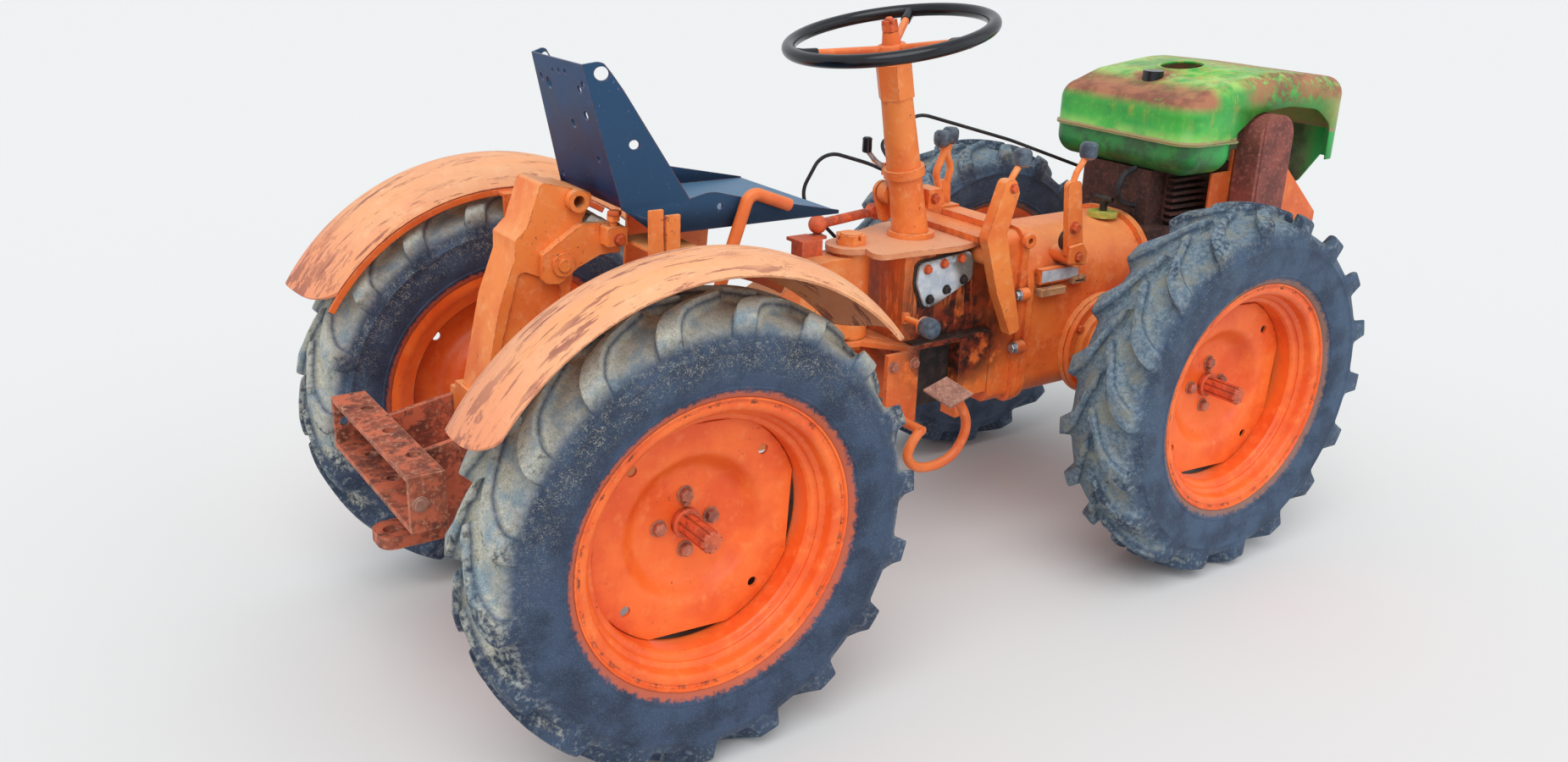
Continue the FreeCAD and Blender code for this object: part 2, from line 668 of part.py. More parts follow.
def seat_pan():
    """A folded sheet seat: its back with holes, its two wings, and the pan with its side flanges."""
    thick, wide = S.seat_sheet, seat_foot[1]
    tip, low = seat_tip, seat_low
    line = [(ahead(seat_top[0]), above(seat_top[2])), (ahead(seat_bend[0]), above(seat_bend[2]), 50),
            (ahead(low[0]), above(low[1]), 60), (ahead(tip[0]), above(tip[1]))]
    inner = [(ahead(tip[0]), above(tip[1]) + thick), (ahead(low[0]), above(low[1]) + thick, 56),
             (ahead(seat_bend[0]) + thick, above(seat_bend[2]) + thick / 2, 46),
             (ahead(seat_top[0]) + thick, above(seat_top[2]))]
    ribbon = side_plate(-wide, wide, line + inner)
    half_top, half_bend = seat_top[1], seat_bend[1]
    outline = cross_plate(ahead(-80), ahead(tip[0] + 20),
                          [(-wide, above(300)), (wide, above(300)), (wide, above(low[1] + 8)),
                           (half_bend, above(seat_bend[2])), (half_top, above(seat_top[2])),
                           (-half_top, above(seat_top[2])), (-half_bend, above(seat_bend[2])),
                           (-wide, above(low[1] + 8))])
    back = common(ribbon, outline)
    wing = common(wing_sheet(), side_plate(0, wide, [
        (ahead(seat_top[0]), above(seat_top[2])), (ahead(-2), above(629), 14), (ahead(24), above(588), 30),
        (ahead(seat_foot[0]), above(seat_foot[2])), (ahead(seat_bend[0]), above(seat_bend[2]))]))
    flange = side_plate(wide - thick, wide, [
        (ahead(78), above(low[1])), (ahead(tip[0]), above(tip[1])), (ahead(tip[0]), above(tip[1] + 6)),
        (ahead(210), above(421), 60), (ahead(150), above(437), 60),
        (ahead(seat_foot[0]), above(seat_foot[2]))])
    gusset = [FreeCAD.Vector(float(ahead(u)), v, float(above(w)))
              for u, v, w in (seat_bend, seat_foot, (78, wide, low[1]), (seat_bend[0] + 34, 128, low[1] + 4))]
    fill = [Part.Face(Part.makePolygon([gusset[i] for i in ring])) for ring in ((0, 1, 2, 0), (0, 2, 3, 0))]
    leaves = [computed(leaf.extrude(-Y * float(thick))) for leaf in fill]
    shell = fuse(back, both(fuse(wing, flange, *leaves)))
    # Columns: across, height above the axle, radius of the holes through the back
    holes = [(22, 603, 4), (0, 605, 4), (-22, 606, 4), (71, 588, 6), (48, 581, 9), (-58, 584, 6),
             (-73, 593, 5),
             (-58, 546, 7), (-6, 527, 7), (86, 433, 5), (-65, 482, 5)]
    spots = [rod("x", radius, (ahead(-60), across, above(high)), 120) for across, high, radius in holes]
    through = [rod("y", radius, (ahead(u), -wide - 10, above(v)), wide * 2 + 20)
               for u, v, radius in ((-4, 611, 10), (38, 509, 7), (165, 412, 5))]
    return cut(shell, *spots, *through)


piece("seat_pan", seat_pan())


def seat_bracket():
    """Two upright straps and a cross plate that carry the pan from the neck."""
    half = S.neck_half
    under = above(seat_low[1]) - 1.2 - S.seat_gap
    plate = box(ahead(seat_low[0] + 8), ahead(215), -half - 18, half + 18, under - 10, under)
    side = side_plate(-half - 8, -half, from_axle((90, 90), (180, 90), (205, 367), (110, 367)))
    reach, level = seat_foot[1] + 10, above(350)
    arm = box(ahead(48), ahead(125), -reach - 6, -half, level, level + 6)
    tabs = [box(ahead(back), ahead(back + 24), -reach - 6, -reach, level, above(high))
            for back, high in ((35, 421), (63, 411))]
    return fuse(plate, arm, both(side), *tabs)


piece("seat_bracket", seat_bracket())


# Tall leaning column behind the seat, with its eye and bracket
eye_x, eye_z = ahead(-24), above(419)


def lift_column():
    """A hollow-sided post that leans forward, with a bossed hole near its top."""
    half, boss_radius = S.lift_half, S.lift_eye_radius + 8
    body = side_plate(-half, half, from_axle((-188, 112), (-70, 112), (-16, 381), (7, 427, 9),
                                             (-78, 450, 7), (-103, 384), (-123, 366, 5), (-124, 339),
                                             (-151, 271)))
    recess = side_plate(-half - 1, -half + 6, from_axle((-172, 135, 9), (-88, 135, 9), (-50, 290, 12),
                                                        (-118, 322, 12)))
    boss = rod("y", boss_radius, (eye_x, -half - 15, eye_z), half * 2 + 24)
    foot = box(ahead(-190), ahead(-50), -half - 20, half + 20, above(112), above(126))
    hole = rod("y", S.lift_eye_radius, (eye_x, -half - 20, eye_z), half * 2 + 40)
    return cut(fuse(cut(body, recess), boss, foot), hole)


piece("lift_column", lift_column())


def lift_bracket():
    """The plate bolted to the column's right side, with a pin in its eye and a lug with a bolt."""
    y0, y1 = -S.lift_half - 16, -S.lift_half
    plate = side_plate(y0, y1, from_axle((-86, 300, 8), (-60, 296, 8), (-30, 318), (8, 334), (42, 334),
                                         (42, 380), (-22, 384), (-86, 344, 6)))
    lug = side_plate(y0 - 30, y0, from_axle((8, 352), (40, 352), (40, 381, 4), (8, 381, 4)))
    neck = rod("z", 6, (ahead(23), y0 - 16, above(381)), 8)
    head = hexagon(11, (ahead(23), y0 - 16, above(389)), 9)
    ring = rod("y", 18, (ahead(-54), y0 - 5, above(326)), 5)
    pin = rod("y", 10, (ahead(-54), y0 - 9, above(326)), 9)
    boss = rod("y", S.lift_eye_radius + 9, (eye_x, y0, eye_z), 16)
    return cut(fuse(plate, lug, neck, head, ring, pin), boss)


piece("lift_bracket", lift_bracket())


def hand_lever():
    """The bent tube lever beside the seat."""
    route = [(ahead(150), -68, above(105), 0), (ahead(150), -110, above(150), 40),
             (ahead(182), -160, above(350), 60),
             (ahead(212), -160, above(432), 18), (ahead(286), -160, above(404), 0)]
    tube = bent_tube(route, 10)
    foot = rod("y", 22, (ahead(150), -75, above(105)), 22)
    return fuse(tube, foot)


piece("hand_lever", hand_lever())


# Hitch

def hitch_block():
    """A box of plate, open to the back, with rows of holes through its top and bottom."""
    x0, x1 = ahead(S.hitch_back), ahead(S.hitch_back + S.hitch_depth)
    half, wall = S.hitch_half, S.hitch_sheet
    z0, z1 = above(S.hitch_bottom), above(S.hitch_top)
    shell = cut(box(x0, x1, -half, half, z0, z1), box(x0 - 1, x1 - wall, -half + wall, half - wall,
                                                      z0 + wall, z1 - wall))
    row = x0 + S.hitch_depth * 0.65
    holes = [rod("z", S.hitch_hole_radius, (row, S.hitch_hole_spacing * i, z0 - 1),
                 z1 - z0 + 2) for i in (-1, 0, 1)]
    side = rod("y", S.hitch_hole_radius - 3, (x0 + S.hitch_depth * 0.3, -half - 1, (z0 + z1) / 2),
               half * 2 + 2)
    return cut(shell, side, *holes)


piece("hitch_block", hitch_block())


def hitch_bracket():
    """The side plates that carry the hitch block and the drawbar tongue under it."""
    x0, x1 = ahead(S.hitch_back + S.hitch_depth), ahead(-190)
    side = side_plate(-84, -74, [(x0, above(S.hitch_bottom)), (x0 + 40, above(-72)), (x1, above(-72)),
                                 (x1, above(100)),
                                 (x0, above(S.hitch_top - 8))])
    tie = box(x0, x1, -74, 74, above(-20), above(-8))
    tongue = flat_plate(above(-92), above(-72), [(ahead(-352), -34, 24), (ahead(-100), -34),
                                                 (ahead(-100), 34),
                                                 (ahead(-352), 34, 24)])
    web = box(x0 + 42, x1, -74, 74, above(-74), above(-62))
    hole = rod("z", S.drawbar_hole_radius, (ahead(-326), 0, above(-100)), 40)
    return cut(fuse(both(side), tie, web, tongue), hole)


piece("hitch_bracket", hitch_bracket())


# Front half: pivot plates, gearbox and bell

def top_plate():
    """The plate over the pivot, round at its eye, that the steering column stands on."""
    eye, x = S.pivot_eye_radius, ahead(S.pivot_x)
    plate = flat_plate(above(S.pivot_top - S.plate_sheet), above(S.pivot_top),
                       [(x, -eye), (ahead(520), -92, 20), (ahead(700), -108, 90), (ahead(779), -88, 20),
                        (ahead(790), 65, 20), (ahead(760), 102, 20), (ahead(680), 102, 60), (x, eye)])
    round_end = rod("z", eye, (x, 0, above(S.pivot_top - S.plate_sheet - 4)), S.plate_sheet + 4)
    keep = box(x - eye * 2, x + 400, -eye * 3, eye * 3, above(S.pivot_top - S.plate_sheet),
               above(S.pivot_top))
    hole = rod("z", S.pivot_pin_radius, (x, 0, above(S.pivot_top - 40)), 80)
    return cut(common(fuse(plate, round_end), keep), hole)


piece("top_plate", top_plate())


def kingpin():
    """The upright pin with its slotted nut."""
    x, low = ahead(S.pivot_x), above(S.pivot_bottom - S.plate_sheet - 14)
    pin = rod("z", S.pivot_pin_radius, (x, 0, low), above(S.pivot_top) + 20 - low)
    nut = hexagon(S.pivot_pin_radius + 9, (x, 0, above(S.pivot_top)), 18)
    slots = [box(x - 40, x + 40, -3, 3, above(S.pivot_top) + 10, above(S.pivot_top) + 30),
             box(x - 3, x + 3, -40, 40, above(S.pivot_top) + 10, above(S.pivot_top) + 30)]
    under = hexagon(S.pivot_pin_radius + 9, (x, 0, low), 14)
    return fuse(pin, cut(nut, *slots), under)


piece("kingpin", kingpin())


def lower_frame():
    """The shelf under the pivot, with the side plates, core block and foot below it."""
    x = ahead(S.pivot_x)
    z1 = above(S.pivot_bottom)
    z0 = z1 - S.plate_sheet
    shelf = flat_plate(z0, z1, [(x, -S.pivot_eye_radius), (ahead(590), -112), (ahead(790), -112),
                                (ahead(790), 112),
                                (ahead(590), 112), (x, S.pivot_eye_radius)])
    eye = rod("z", S.pivot_eye_radius, (x, 0, z0), S.plate_sheet)
    core = box(ahead(612), ahead(790), -80, 80, above(-32), z0)
    side = side_plate(-112, -102, [(ahead(545), above(-45)), (ahead(618), above(-45)), (ahead(618), z0),
                                   (ahead(545), z0)])
    web = box(ahead(604), ahead(618), -112, -70, above(-45), z0)
    post = side_plate(-112, -70, [(ahead(716), above(-60)), (ahead(728), above(-60)),
                                  (ahead(742), above(-20)),
                                  (ahead(790), above(-20)), (ahead(790), z0), (ahead(716), z0)])
    hole = rod("z", S.pivot_pin_radius, (x, 0, z0 - 1), S.plate_sheet + 2)
    return cut(fuse(shelf, eye, core, both(fuse(side, web, post))), hole)


piece("lower_frame", lower_frame())


def gearbox():
    """The casting ahead of the pivot: a narrow upper case and the wide flanged end that meets the bell."""
    front, half = ahead(S.gearbox_front), S.gearbox_half
    low, high = above(S.gearbox_bottom), above(S.gearbox_top)
    upper = box(ahead(592), ahead(800), -86, 86, above(S.pivot_bottom), above(S.pivot_top - S.plate_sheet))
    wide = cross_plate(ahead(790), front, [(-half, low, 20), (half, low, 20), (half, high, 24),
                                           (-half, high, 24)])
    lip = cross_plate(front - 16, front, [(-half - 8, low - 8, 24), (half + 8, low - 8, 24),
                                          (half + 8, high + 6, 28),
                                          (-half - 8, high + 6, 28)])
    lid = box(ahead(800), front - 16, -84, 60, high, high + 12)
    shoulder = box(ahead(740), ahead(800), -half + 6, half - 6, above(S.pivot_top), high)
    return fuse(upper, wide, lip, lid, shoulder)


piece("gearbox", gearbox())


def inspection_cover():
    """The six-cornered cover on the case's right side."""
    plate = side_plate(-96, -86, from_axle((604, 196), (618, 140, 8), (672, 150), (716, 206, 12),
                                           (716, 250, 16), (690, 258), (608, 238, 10)))
    return plate


piece("inspection_cover", inspection_cover())


def bell_housing():
    """The round-topped housing between gearbox and engine."""
    front, half = ahead(S.gearbox_front), S.bell_half
    low, high = above(S.bell_bottom), above(S.bell_top)

    def section(x0, x1, grow):
        return cross_plate(x0, x1, [(-half - grow, low - grow, 50), (half + grow, low - grow, 50),
                                    (half + grow, high + grow, 105), (-half - grow, high + grow, 105)])

    end = ahead(S.bell_end)
    return fuse(section(front, end, 0), section(front, front + 14, 8), section(end - 16, end, 8))


bell = piece("bell_housing", bell_housing())


def front_axle_housing():
    """The round side covers and the casings that reach from them to the wheel shafts."""
    x, z, half = ahead(1070), above(37), S.bell_half
    cover = rod("y", 105, (x, -half - 14, z), 14)
    boss = rod("y", 82, (x, -half - 40, z), 40)
    casing = link_plate(-half - 88, -half - 40, (x, z, 72), (front_x, S.tyre_radius, 66))
    tube = rod("y", S.axle_tube_radius, (front_x, -S.axle_tube_end, S.tyre_radius),
               S.axle_tube_end - half - 40)
    ring = rod("y", S.axle_tube_radius + 16, (front_x, -S.axle_tube_end + 26, S.tyre_radius), 14)
    return cut(pair(fuse(cover, boss, casing, tube, ring)), axle_bore(front_x))


piece("front_axle_housings", front_axle_housing())


# Engine and what hangs on it

def engine_block():
    back, half, top, head_half = ahead(S.bell_end), S.crank_half, S.crank_top, S.head_half
    crank = box(back, ahead(1500), -half, half, above(-42), above(top))
    head = box(back + 20, ahead(1470), -head_half, head_half + 12, above(top), above(S.tank_bottom))
    sump = box(back + 30, ahead(1440), -head_half, head_half, above(-84), above(-42))
    return fuse(crank, head, sump)


piece("engine_block", engine_block())


def cooling_fins():
    """The finned side of the cylinder block, on the crankcase, with as many fins as fit under the tank."""
    back, front, root, tip = ahead(1262), ahead(1372), -S.head_half, -S.crank_half
    low, high, first = S.crank_top, S.tank_bottom - 3, 8
    count = int((float(high - low) - first - float(S.fin_sheet)) // float(S.fin_pitch)) + 1
    fins = [box(back, front, tip, root, above(low + first + S.fin_pitch * i),
                above(low + first + S.fin_sheet + S.fin_pitch * i))
            for i in range(count)]
    plate = box(back, front, root - 8, root, above(low), above(high))
    return fuse(plate, *fins)


piece("cooling_fins", cooling_fins())


def side_guards():
    """The sheet panels between engine and hood, both sides."""
    outer, sheet_wall, top = -150, 5, S.hood_seam - 25
    plate = side_plate(outer, outer + sheet_wall, from_axle(
        (1380, 205), (1600, 205), (1618, 262), (1500, top - 12, 30), (1440, top), (1380, top)))
    foot = box(ahead(1392), ahead(1480), Size(outer), -S.crank_half, above(205), above(212))
    hole = rod("y", 24, (ahead(1436), outer - 10, above(330)), 30)
    return pair(cut(fuse(plate, foot), hole))


piece("side_guards", side_guards())


def muffler():
    """The flat upright silencer with its rounded top, which stands up into the hood's arch."""
    outer, inner, back, front = -208, -154, 1384, 1488
    low, top = 222, S.hood_seam + 49
    body = side_plate(outer, inner, from_axle((back, low, 12), (front, low, 12), (front, top, 46),
                                              (back, top, 46)))
    pipe = rod("y", 19, (ahead(1436), inner, above(330)), 70)
    return fuse(body, pipe)


piece("muffler", muffler())


def rim_edges(shape, low):
    """The edges above low between a shape's top and its sides."""
    chosen = []
    for edge in shape.Edges:
        if edge.BoundBox.ZMin > float(low):
            middle = edge.valueAt((edge.FirstParameter + edge.LastParameter) / 2)
            slopes = [abs(face.normalAt(*face.Surface.parameter(middle)).z)
                      for face in shape.ancestorsOfType(edge, Part.Face)]
            if min(slopes) < 0.1 and max(slopes) > 0.3:
                chosen.append(edge)
    return chosen


def hood_form(inset):
    """The hood's outer form, drawn in by inset: its side outline across the width, with rounded edges."""
    back, end, bottom = ahead(S.hood_back) + inset, ahead(S.hood_front) - inset, above(S.hood_bottom)
    half, corner = S.hood_half - inset, S.hood_corner - inset
    crown = above(S.hood_seam + S.hood_crown) - inset
    back_drop, cap_drop, front_drop = 54, 20, 24
    outline = [(back, bottom), (back, crown - back_drop), (ahead(1300), crown - cap_drop, 90),
               (ahead(1470), crown, 400), (end, crown - front_drop), (end, bottom)]
    wire = Part.Wire(Part.sortEdges([edge.toShape() for edge in corner_edges(outline)])[0])
    wire.rotate(FreeCAD.Vector(), X, 90)
    wire.translate(Y * float(half))
    block = Part.Face(wire).extrude(-Y * float(half * 2))
    upright = [edge for edge in block.Edges if edge.BoundBox.ZLength > 60 and edge.BoundBox.XLength < 1]
    block = block.makeFillet(float(corner), upright)
    return block.makeFillet(float(corner) - 2, rim_edges(block, crown - back_drop - 2))


def fuel_tank():
    """The tank: a rounded pan hung from its seam flange, and its closed upper half under the hood's sheet."""
    x0, x1 = ahead(S.hood_back), ahead(S.hood_back + S.tank_length)
    low, half, seam, corner = above(S.tank_bottom), S.hood_half, above(S.hood_seam), S.hood_corner
    pan = Part.makeBox(float(x1 - x0), float(half) * 2, float(seam - low) - 3,
                       FreeCAD.Vector(float(x0), -float(half), float(low)))
    pan = pan.makeFillet(float(corner) + 2, [edge for edge in pan.Edges if edge.BoundBox.ZLength > 1])
    pan = pan.makeFillet(float(corner), [edge for edge in pan.Edges if edge.BoundBox.ZMax < float(low) + 1])
    lip, flange_corner = S.tank_seam_lip, corner + 8
    flange = flat_plate(seam - 3, seam, [(x0 - lip, -half - lip, flange_corner), (x1 - 12, -half - lip),
                                         (x1, -half),
                                         (x1, half), (x1 - 12, half + lip),
                                         (x0 - lip, half + lip, flange_corner)])
    inside = common(computed(hood_form(S.hood_sheet + S.seat_gap)),
                    box(x0, x1 - 4, -half, half, seam - 1, seam + 140))
    return fuse(computed(pan), flange, inside)


piece("fuel_tank", fuel_tank())


def hood_cowl():
    """The sheet hood over tank and engine, open below, with a lip on the seam, an arch in each side,
    a round hole and a tongue under its front."""
    x0, seam = ahead(S.hood_back), above(S.hood_seam)
    half, wall, corner = S.hood_half, S.hood_sheet, S.hood_corner
    shell = computed(hood_form(Size(0)).cut(hood_form(wall)))
    arch = side_plate(-half - 20, half + 20, [
        (x0 - 20, seam - 90), (ahead(1652), seam - 90), (ahead(1652), seam + 12, 34),
        (ahead(1600), seam + 48, 80),
        (ahead(1500), seam + 60, 200), (ahead(1398), seam + 51, 70), (ahead(1320), seam, 12),
        (x0 - 20, seam)])
    lip, lip_corner = S.tank_seam_lip, corner + 8
    end = ahead(1336)
    rim = cut(flat_plate(seam, seam + 3, [(x0 - lip, -half - lip, lip_corner), (end, -half - lip),
                                          (end, half + lip),
                                          (x0 - lip, half + lip, lip_corner)]),
              computed(hood_form(wall - 1)))
    low, root = S.hood_bottom - S.hood_tongue, half - corner
    tongue = cross_plate(ahead(S.hood_front) - wall, ahead(S.hood_front), [
        (-root, above(S.hood_bottom + 6)), (-S.tongue_half, above(low), 14), (S.tongue_half, above(low), 14),
        (root, above(S.hood_bottom + 6))])
    hole = (ahead(1398), 20)
    collar = common(rod("z", S.hood_hole_radius + 7, hole + (seam + 90,), 60),
                    computed(hood_form(-Size(3)).cut(hood_form(wall - 1))))
    return cut(fuse(cut(shell, arch), rim, collar, tongue),
               rod("z", S.hood_hole_radius, hole + (seam + 80,), 80))


piece("hood_cowl", hood_cowl())


def fuel_cap():
    return cut(rod("z", S.fuel_cap_radius, (ahead(1288), 0, above(S.hood_seam + 95)), 24),
               computed(hood_form(-S.seat_gap)))


piece("fuel_cap", fuel_cap())


def oil_cap():
    """The round filler lid on the bell, with its T-shaped screw."""
    x, y, z = ahead(1150), -32, above(S.bell_top)
    lid = rod("z", 30, (x, y, z), 10)
    screw = rod("z", 7, (x, y, z + 10), 26)
    bar = rod("y", 6, (x, y - 18, z + 36), 36)
    return fuse(lid, screw, bar)


piece("oil_cap", oil_cap())


# Levers and controls

def side_lever():
    """The long cast lever at the gearbox's right side, with its round grip."""
    arm = side_plate(-152, -130, from_axle((800, 104), (826, 108, 8), (770, 300), (792, 372),
                                           (782, 398, 12), (758, 398, 12), (722, 296, 20), (758, 190)))
    hub = rod("y", 16, (ahead(762), -130, above(250)), 44)
    stem = bent_tube([(ahead(772), -141, above(386), 0), (ahead(782), -141, above(402), 12),
                      (ahead(798), -141, above(424), 0)], 6)
    grip = rod("z", 14, (ahead(802), -141, above(420)), 24)
    return fuse(arm, hub, stem, grip)


piece("side_lever", side_lever())


def clutch_lever():
    """The upright lever on the bell's shoulder."""
    arm = side_plate(-150, -138, from_axle((934, 232, 10), (976, 232, 10), (950, 380, 10), (916, 380, 10)))
    pivot = rod("y", 17, (ahead(955), -158, above(232)), 60)
    stem = bent_tube([(ahead(932), -144, above(372), 0), (ahead(940), -144, above(395), 12),
                      (ahead(962), -144, above(424), 0)], 6)
    grip = rod("z", 14, (ahead(966), -144, above(420)), 24)
    return cut(fuse(arm, pivot, stem, grip), bell)


piece("clutch_lever", clutch_lever())


def twin_levers():
    """Two bent gear levers in their bracket on the gearbox, left of the middle."""
    high = above(S.gearbox_top)
    base = box(ahead(800), ahead(844), 62, 112, high, high + 16)
    ear = side_plate(84, 92, [(ahead(804), high + 16), (ahead(840), high + 16), (ahead(836), high + 62, 14),
                              (ahead(808), high + 62, 14)])
    first = bent_tube([(ahead(812), 76, high + 10, 0), (ahead(790), 76, high + 80, 20),
                       (ahead(808), 76, high + 120, 20),
                       (ahead(800), 76, high + 140, 0)], 7)
    second = bent_tube([(ahead(832), 100, high + 10, 0), (ahead(848), 100, high + 80, 20),
                        (ahead(836), 100, high + 110, 20), (ahead(842), 100, high + 138, 0)], 7)
    grips = [rod("z", 13, (ahead(x), y, high + 132), 24) for x, y in ((800, 76), (842, 100))]
    return fuse(base, ear, first, second, *grips)


piece("twin_levers", twin_levers())


def short_lever():
    """The little lever low on the case, with its grey knob."""
    stem = rod("y", 6, (ahead(599), -140, above(150)), 50)
    knob = rod("y", 17, (ahead(599), -164, above(150)), 26)
    root = box(ahead(592), ahead(606), -92, -86, above(140), above(160))
    return fuse(stem, knob, root)


piece("short_lever", short_lever())


def foot_pedals():
    """The bent tube pedals with their diamond treads, on a cross shaft through the lower frame."""
    shaft = rod("y", 9, (ahead(556), -206, above(-20)), 94)
    tube = bent_tube([(ahead(556), -200, above(-20), 0), (ahead(560), -200, above(-92), 26),
                      (ahead(652), -200, above(-96), 40), (ahead(654), -200, above(-10), 30),
                      (ahead(612), -200, above(38), 0)], 9)
    tread = flat_plate(above(38), above(44), [(ahead(566), -200), (ahead(610), -232), (ahead(656), -200),
                                              (ahead(610), -168)])
    return fuse(shaft, tube, tread)


piece("foot_pedal", foot_pedals())


# Steering: column, wheel, drop arm and link

lean = float(S.column_lean)
lean_rad = math.radians(lean)
up_axis = FreeCAD.Vector(-math.sin(lean_rad), 0, math.cos(lean_rad))
column_foot = FreeCAD.Vector(float(ahead(S.column_base_x)), 0, float(above(S.pivot_top)))


def leaning(kind, radius, start, length, radius_top=None):
    """A cylinder or cone on the steering column's axis, start and length counted from its foot."""
    thing = doc.addObject("Part::Cylinder" if kind == "rod" else "Part::Cone", name_for("Column"))
    if kind == "rod":
        bind(thing, "Radius", radius)
    else:
        bind(thing, "Radius1", radius)
        bind(thing, "Radius2", radius_top)
    bind(thing, "Height", length)
    thing.Placement = FreeCAD.Placement(column_foot + up_axis * float(start), FreeCAD.Rotation(Y, -lean))
    return thing


def steering_column():
    """The tapered column with its flange, collar and ring nut, bored for the shaft."""
    foot = cut(leaning("cone", S.column_base_radius, -12, S.column_length + 12, S.column_top_radius),
               box(ahead(500), ahead(900), -100, 100, above(S.pivot_top - 80), above(S.pivot_top)))
    flange = rod("z", S.column_base_radius + 10, (ahead(S.column_base_x), 0, above(S.pivot_top)), 9)
    collar = hexagon(S.column_top_radius + 7, (0, 0, 0), 62)
    collar.Placement = FreeCAD.Placement(column_foot + up_axis * float(S.column_length - 62),
                                         FreeCAD.Rotation(Y, -lean))
    ring = leaning("rod", S.column_top_radius + 2, S.column_length - 30, 14)
    clamp = box(ahead(S.column_base_x) + 20, ahead(S.column_base_x) + 52, -22, 22, above(S.pivot_top + 52),
                above(S.pivot_top + 86))
    bore = leaning("rod", S.steer_shaft_radius + S.run_gap, 120, S.column_length)
    return cut(fuse(foot, flange, collar, ring, clamp), bore)


piece("steering_column", steering_column())


def steering_wheel():
    """Rim, three spokes, hub and shaft."""
    ring = doc.addObject("Part::Torus", name_for("Ring"))
    bind(ring, "Radius1", S.wheel_rim_radius)
    bind(ring, "Radius2", S.wheel_rim_grip)
    ring.Placement = FreeCAD.Placement(column_foot + up_axis * float(S.wheel_height),
                                       FreeCAD.Rotation(Y, -lean))
    hub_low = S.column_length + S.thrust_gap
    boss = leaning("rod", 25, hub_low, S.wheel_height - hub_low + 12)
    nut = leaning("rod", 14, S.wheel_height + 12, 10)
    shaft = leaning("rod", S.steer_shaft_radius, 124, hub_low - 120)
    spokes = []
    for angle in (60, 180, 300):
        spoke = doc.addObject("Part::Cylinder", name_for("Spoke"))
        bind(spoke, "Radius", 8)
        bind(spoke, "Height", S.wheel_rim_radius)
        turn = FreeCAD.Rotation(Y, -lean).multiply(FreeCAD.Rotation(Z, angle)).multiply(FreeCAD.Rotation(Y,
                90))
        spoke.Placement = FreeCAD.Placement(column_foot + up_axis * float(S.wheel_height), turn)
        spokes.append(spoke)
    return fuse(ring, boss, nut, shaft, *spokes)


piece("steering_wheel", steering_wheel())

drop_x, drop_z, drop_y = ahead(640), above(352), 54
link_x, link_y, link_z = ahead(648), 82, above(306)


def drop_arm_mount():
    """The cross shaft that the drop arm turns on, out of the column's left side."""
    shaft = rod("y", 12, (drop_x, 20, drop_z), drop_y - 20)
    boss = rod("y", 20, (drop_x, 18, drop_z), drop_y - 12 - 18)
    return fuse(shaft, boss)


piece("drop_arm_shaft", cut(drop_arm_mount(), leaning("cone", S.column_base_radius, 0, S.column_length,
                                                    S.column_top_radius)))


def drop_arm():
    arm = link_plate(drop_y - 8, drop_y, (drop_x, drop_z, 20), (link_x, link_z, 13))
    return cut(arm, rod("y", 12 + S.run_gap, (drop_x, drop_y - 20, drop_z), 40))


piece("drop_arm", drop_arm())


def steering_link():
    """The rod from the ball on the rear half to the drop arm."""
    ball = doc.addObject("Part::Sphere", name_for("Ball"))
    bind(ball, "Radius", ball_radius)
    put(ball, (ball_x, ball_y, ball_z))
    start = FreeCAD.Vector(float(ball_x), ball_y, float(ball_z))
    stop = FreeCAD.Vector(float(link_x), link_y, float(link_z))
    bar = computed(Part.makeCylinder(9, (stop - start).Length, start, stop - start))
    eye = rod("y", 14, (link_x, link_y - 10, link_z), 20)
    return fuse(ball, bar, eye)


piece("steering_link", steering_link())


def throttle_lever():
    """The small plated lever and its clamp on the column's left side."""
    clamp = leaning("rod", S.column_base_radius + 4, 116, 16)
    clamp = cut(clamp, leaning("cone", S.column_base_radius, 0, S.column_length, S.column_top_radius))
    ear = box(ahead(630), ahead(664), 34, 44, above(384), above(406))
    stem = bent_tube([(ahead(636), 40, above(396), 0), (ahead(618), 52, above(410), 8),
                      (ahead(606), 56, above(430), 0)], 4)
    grip = rod("z", 8, (ahead(604), 56.5, above(426)), 24)
    return fuse(clamp, ear, stem, grip)


piece("throttle_lever", throttle_lever())


def control_cables():
    """Two thin control cables, clipped at both ends."""
    first = bent_tube([(ahead(640), 44, above(390), 0), (ahead(636), 90, above(396), 30),
                       (ahead(560), 130, above(420), 40), (ahead(520), 150, above(330), 50),
                       (ahead(600), 110, above(240), 0)], S.cable_radius)
    second = bent_tube([(ahead(656), 44, above(398), 0), (ahead(660), 90, above(430), 35),
                        (ahead(800), 150, above(470), 90), (ahead(1050), 150, above(400), 90),
                        (ahead(1210), 90, above(340), 0)], S.cable_radius)
    both_cables = doc.addObject("Part::Compound", name_for("Cables"))
    both_cables.Links = [first, second]
    return both_cables


piece("control_cables", control_cables())


# Check and write

doc.recompute()
faulty = [o.Name + " " + o.Label for o in doc.Objects if "Invalid" in o.State or "Error" in o.State]
if faulty:
    raise RuntimeError("failed objects: " + ", ".join(faulty))
os.makedirs("parts", exist_ok=True)
for thing in pieces:
    shape = thing.Shape
    if shape.isNull() or not shape.isValid():
        raise RuntimeError("bad shape: " + thing.Label)
    shape.exportStep(os.path.join("parts", thing.Label + ".step"))
print(len(pieces), "pieces written")
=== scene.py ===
import math

import bmesh
import bpy
import numpy as np
from mathutils import Matrix, Vector


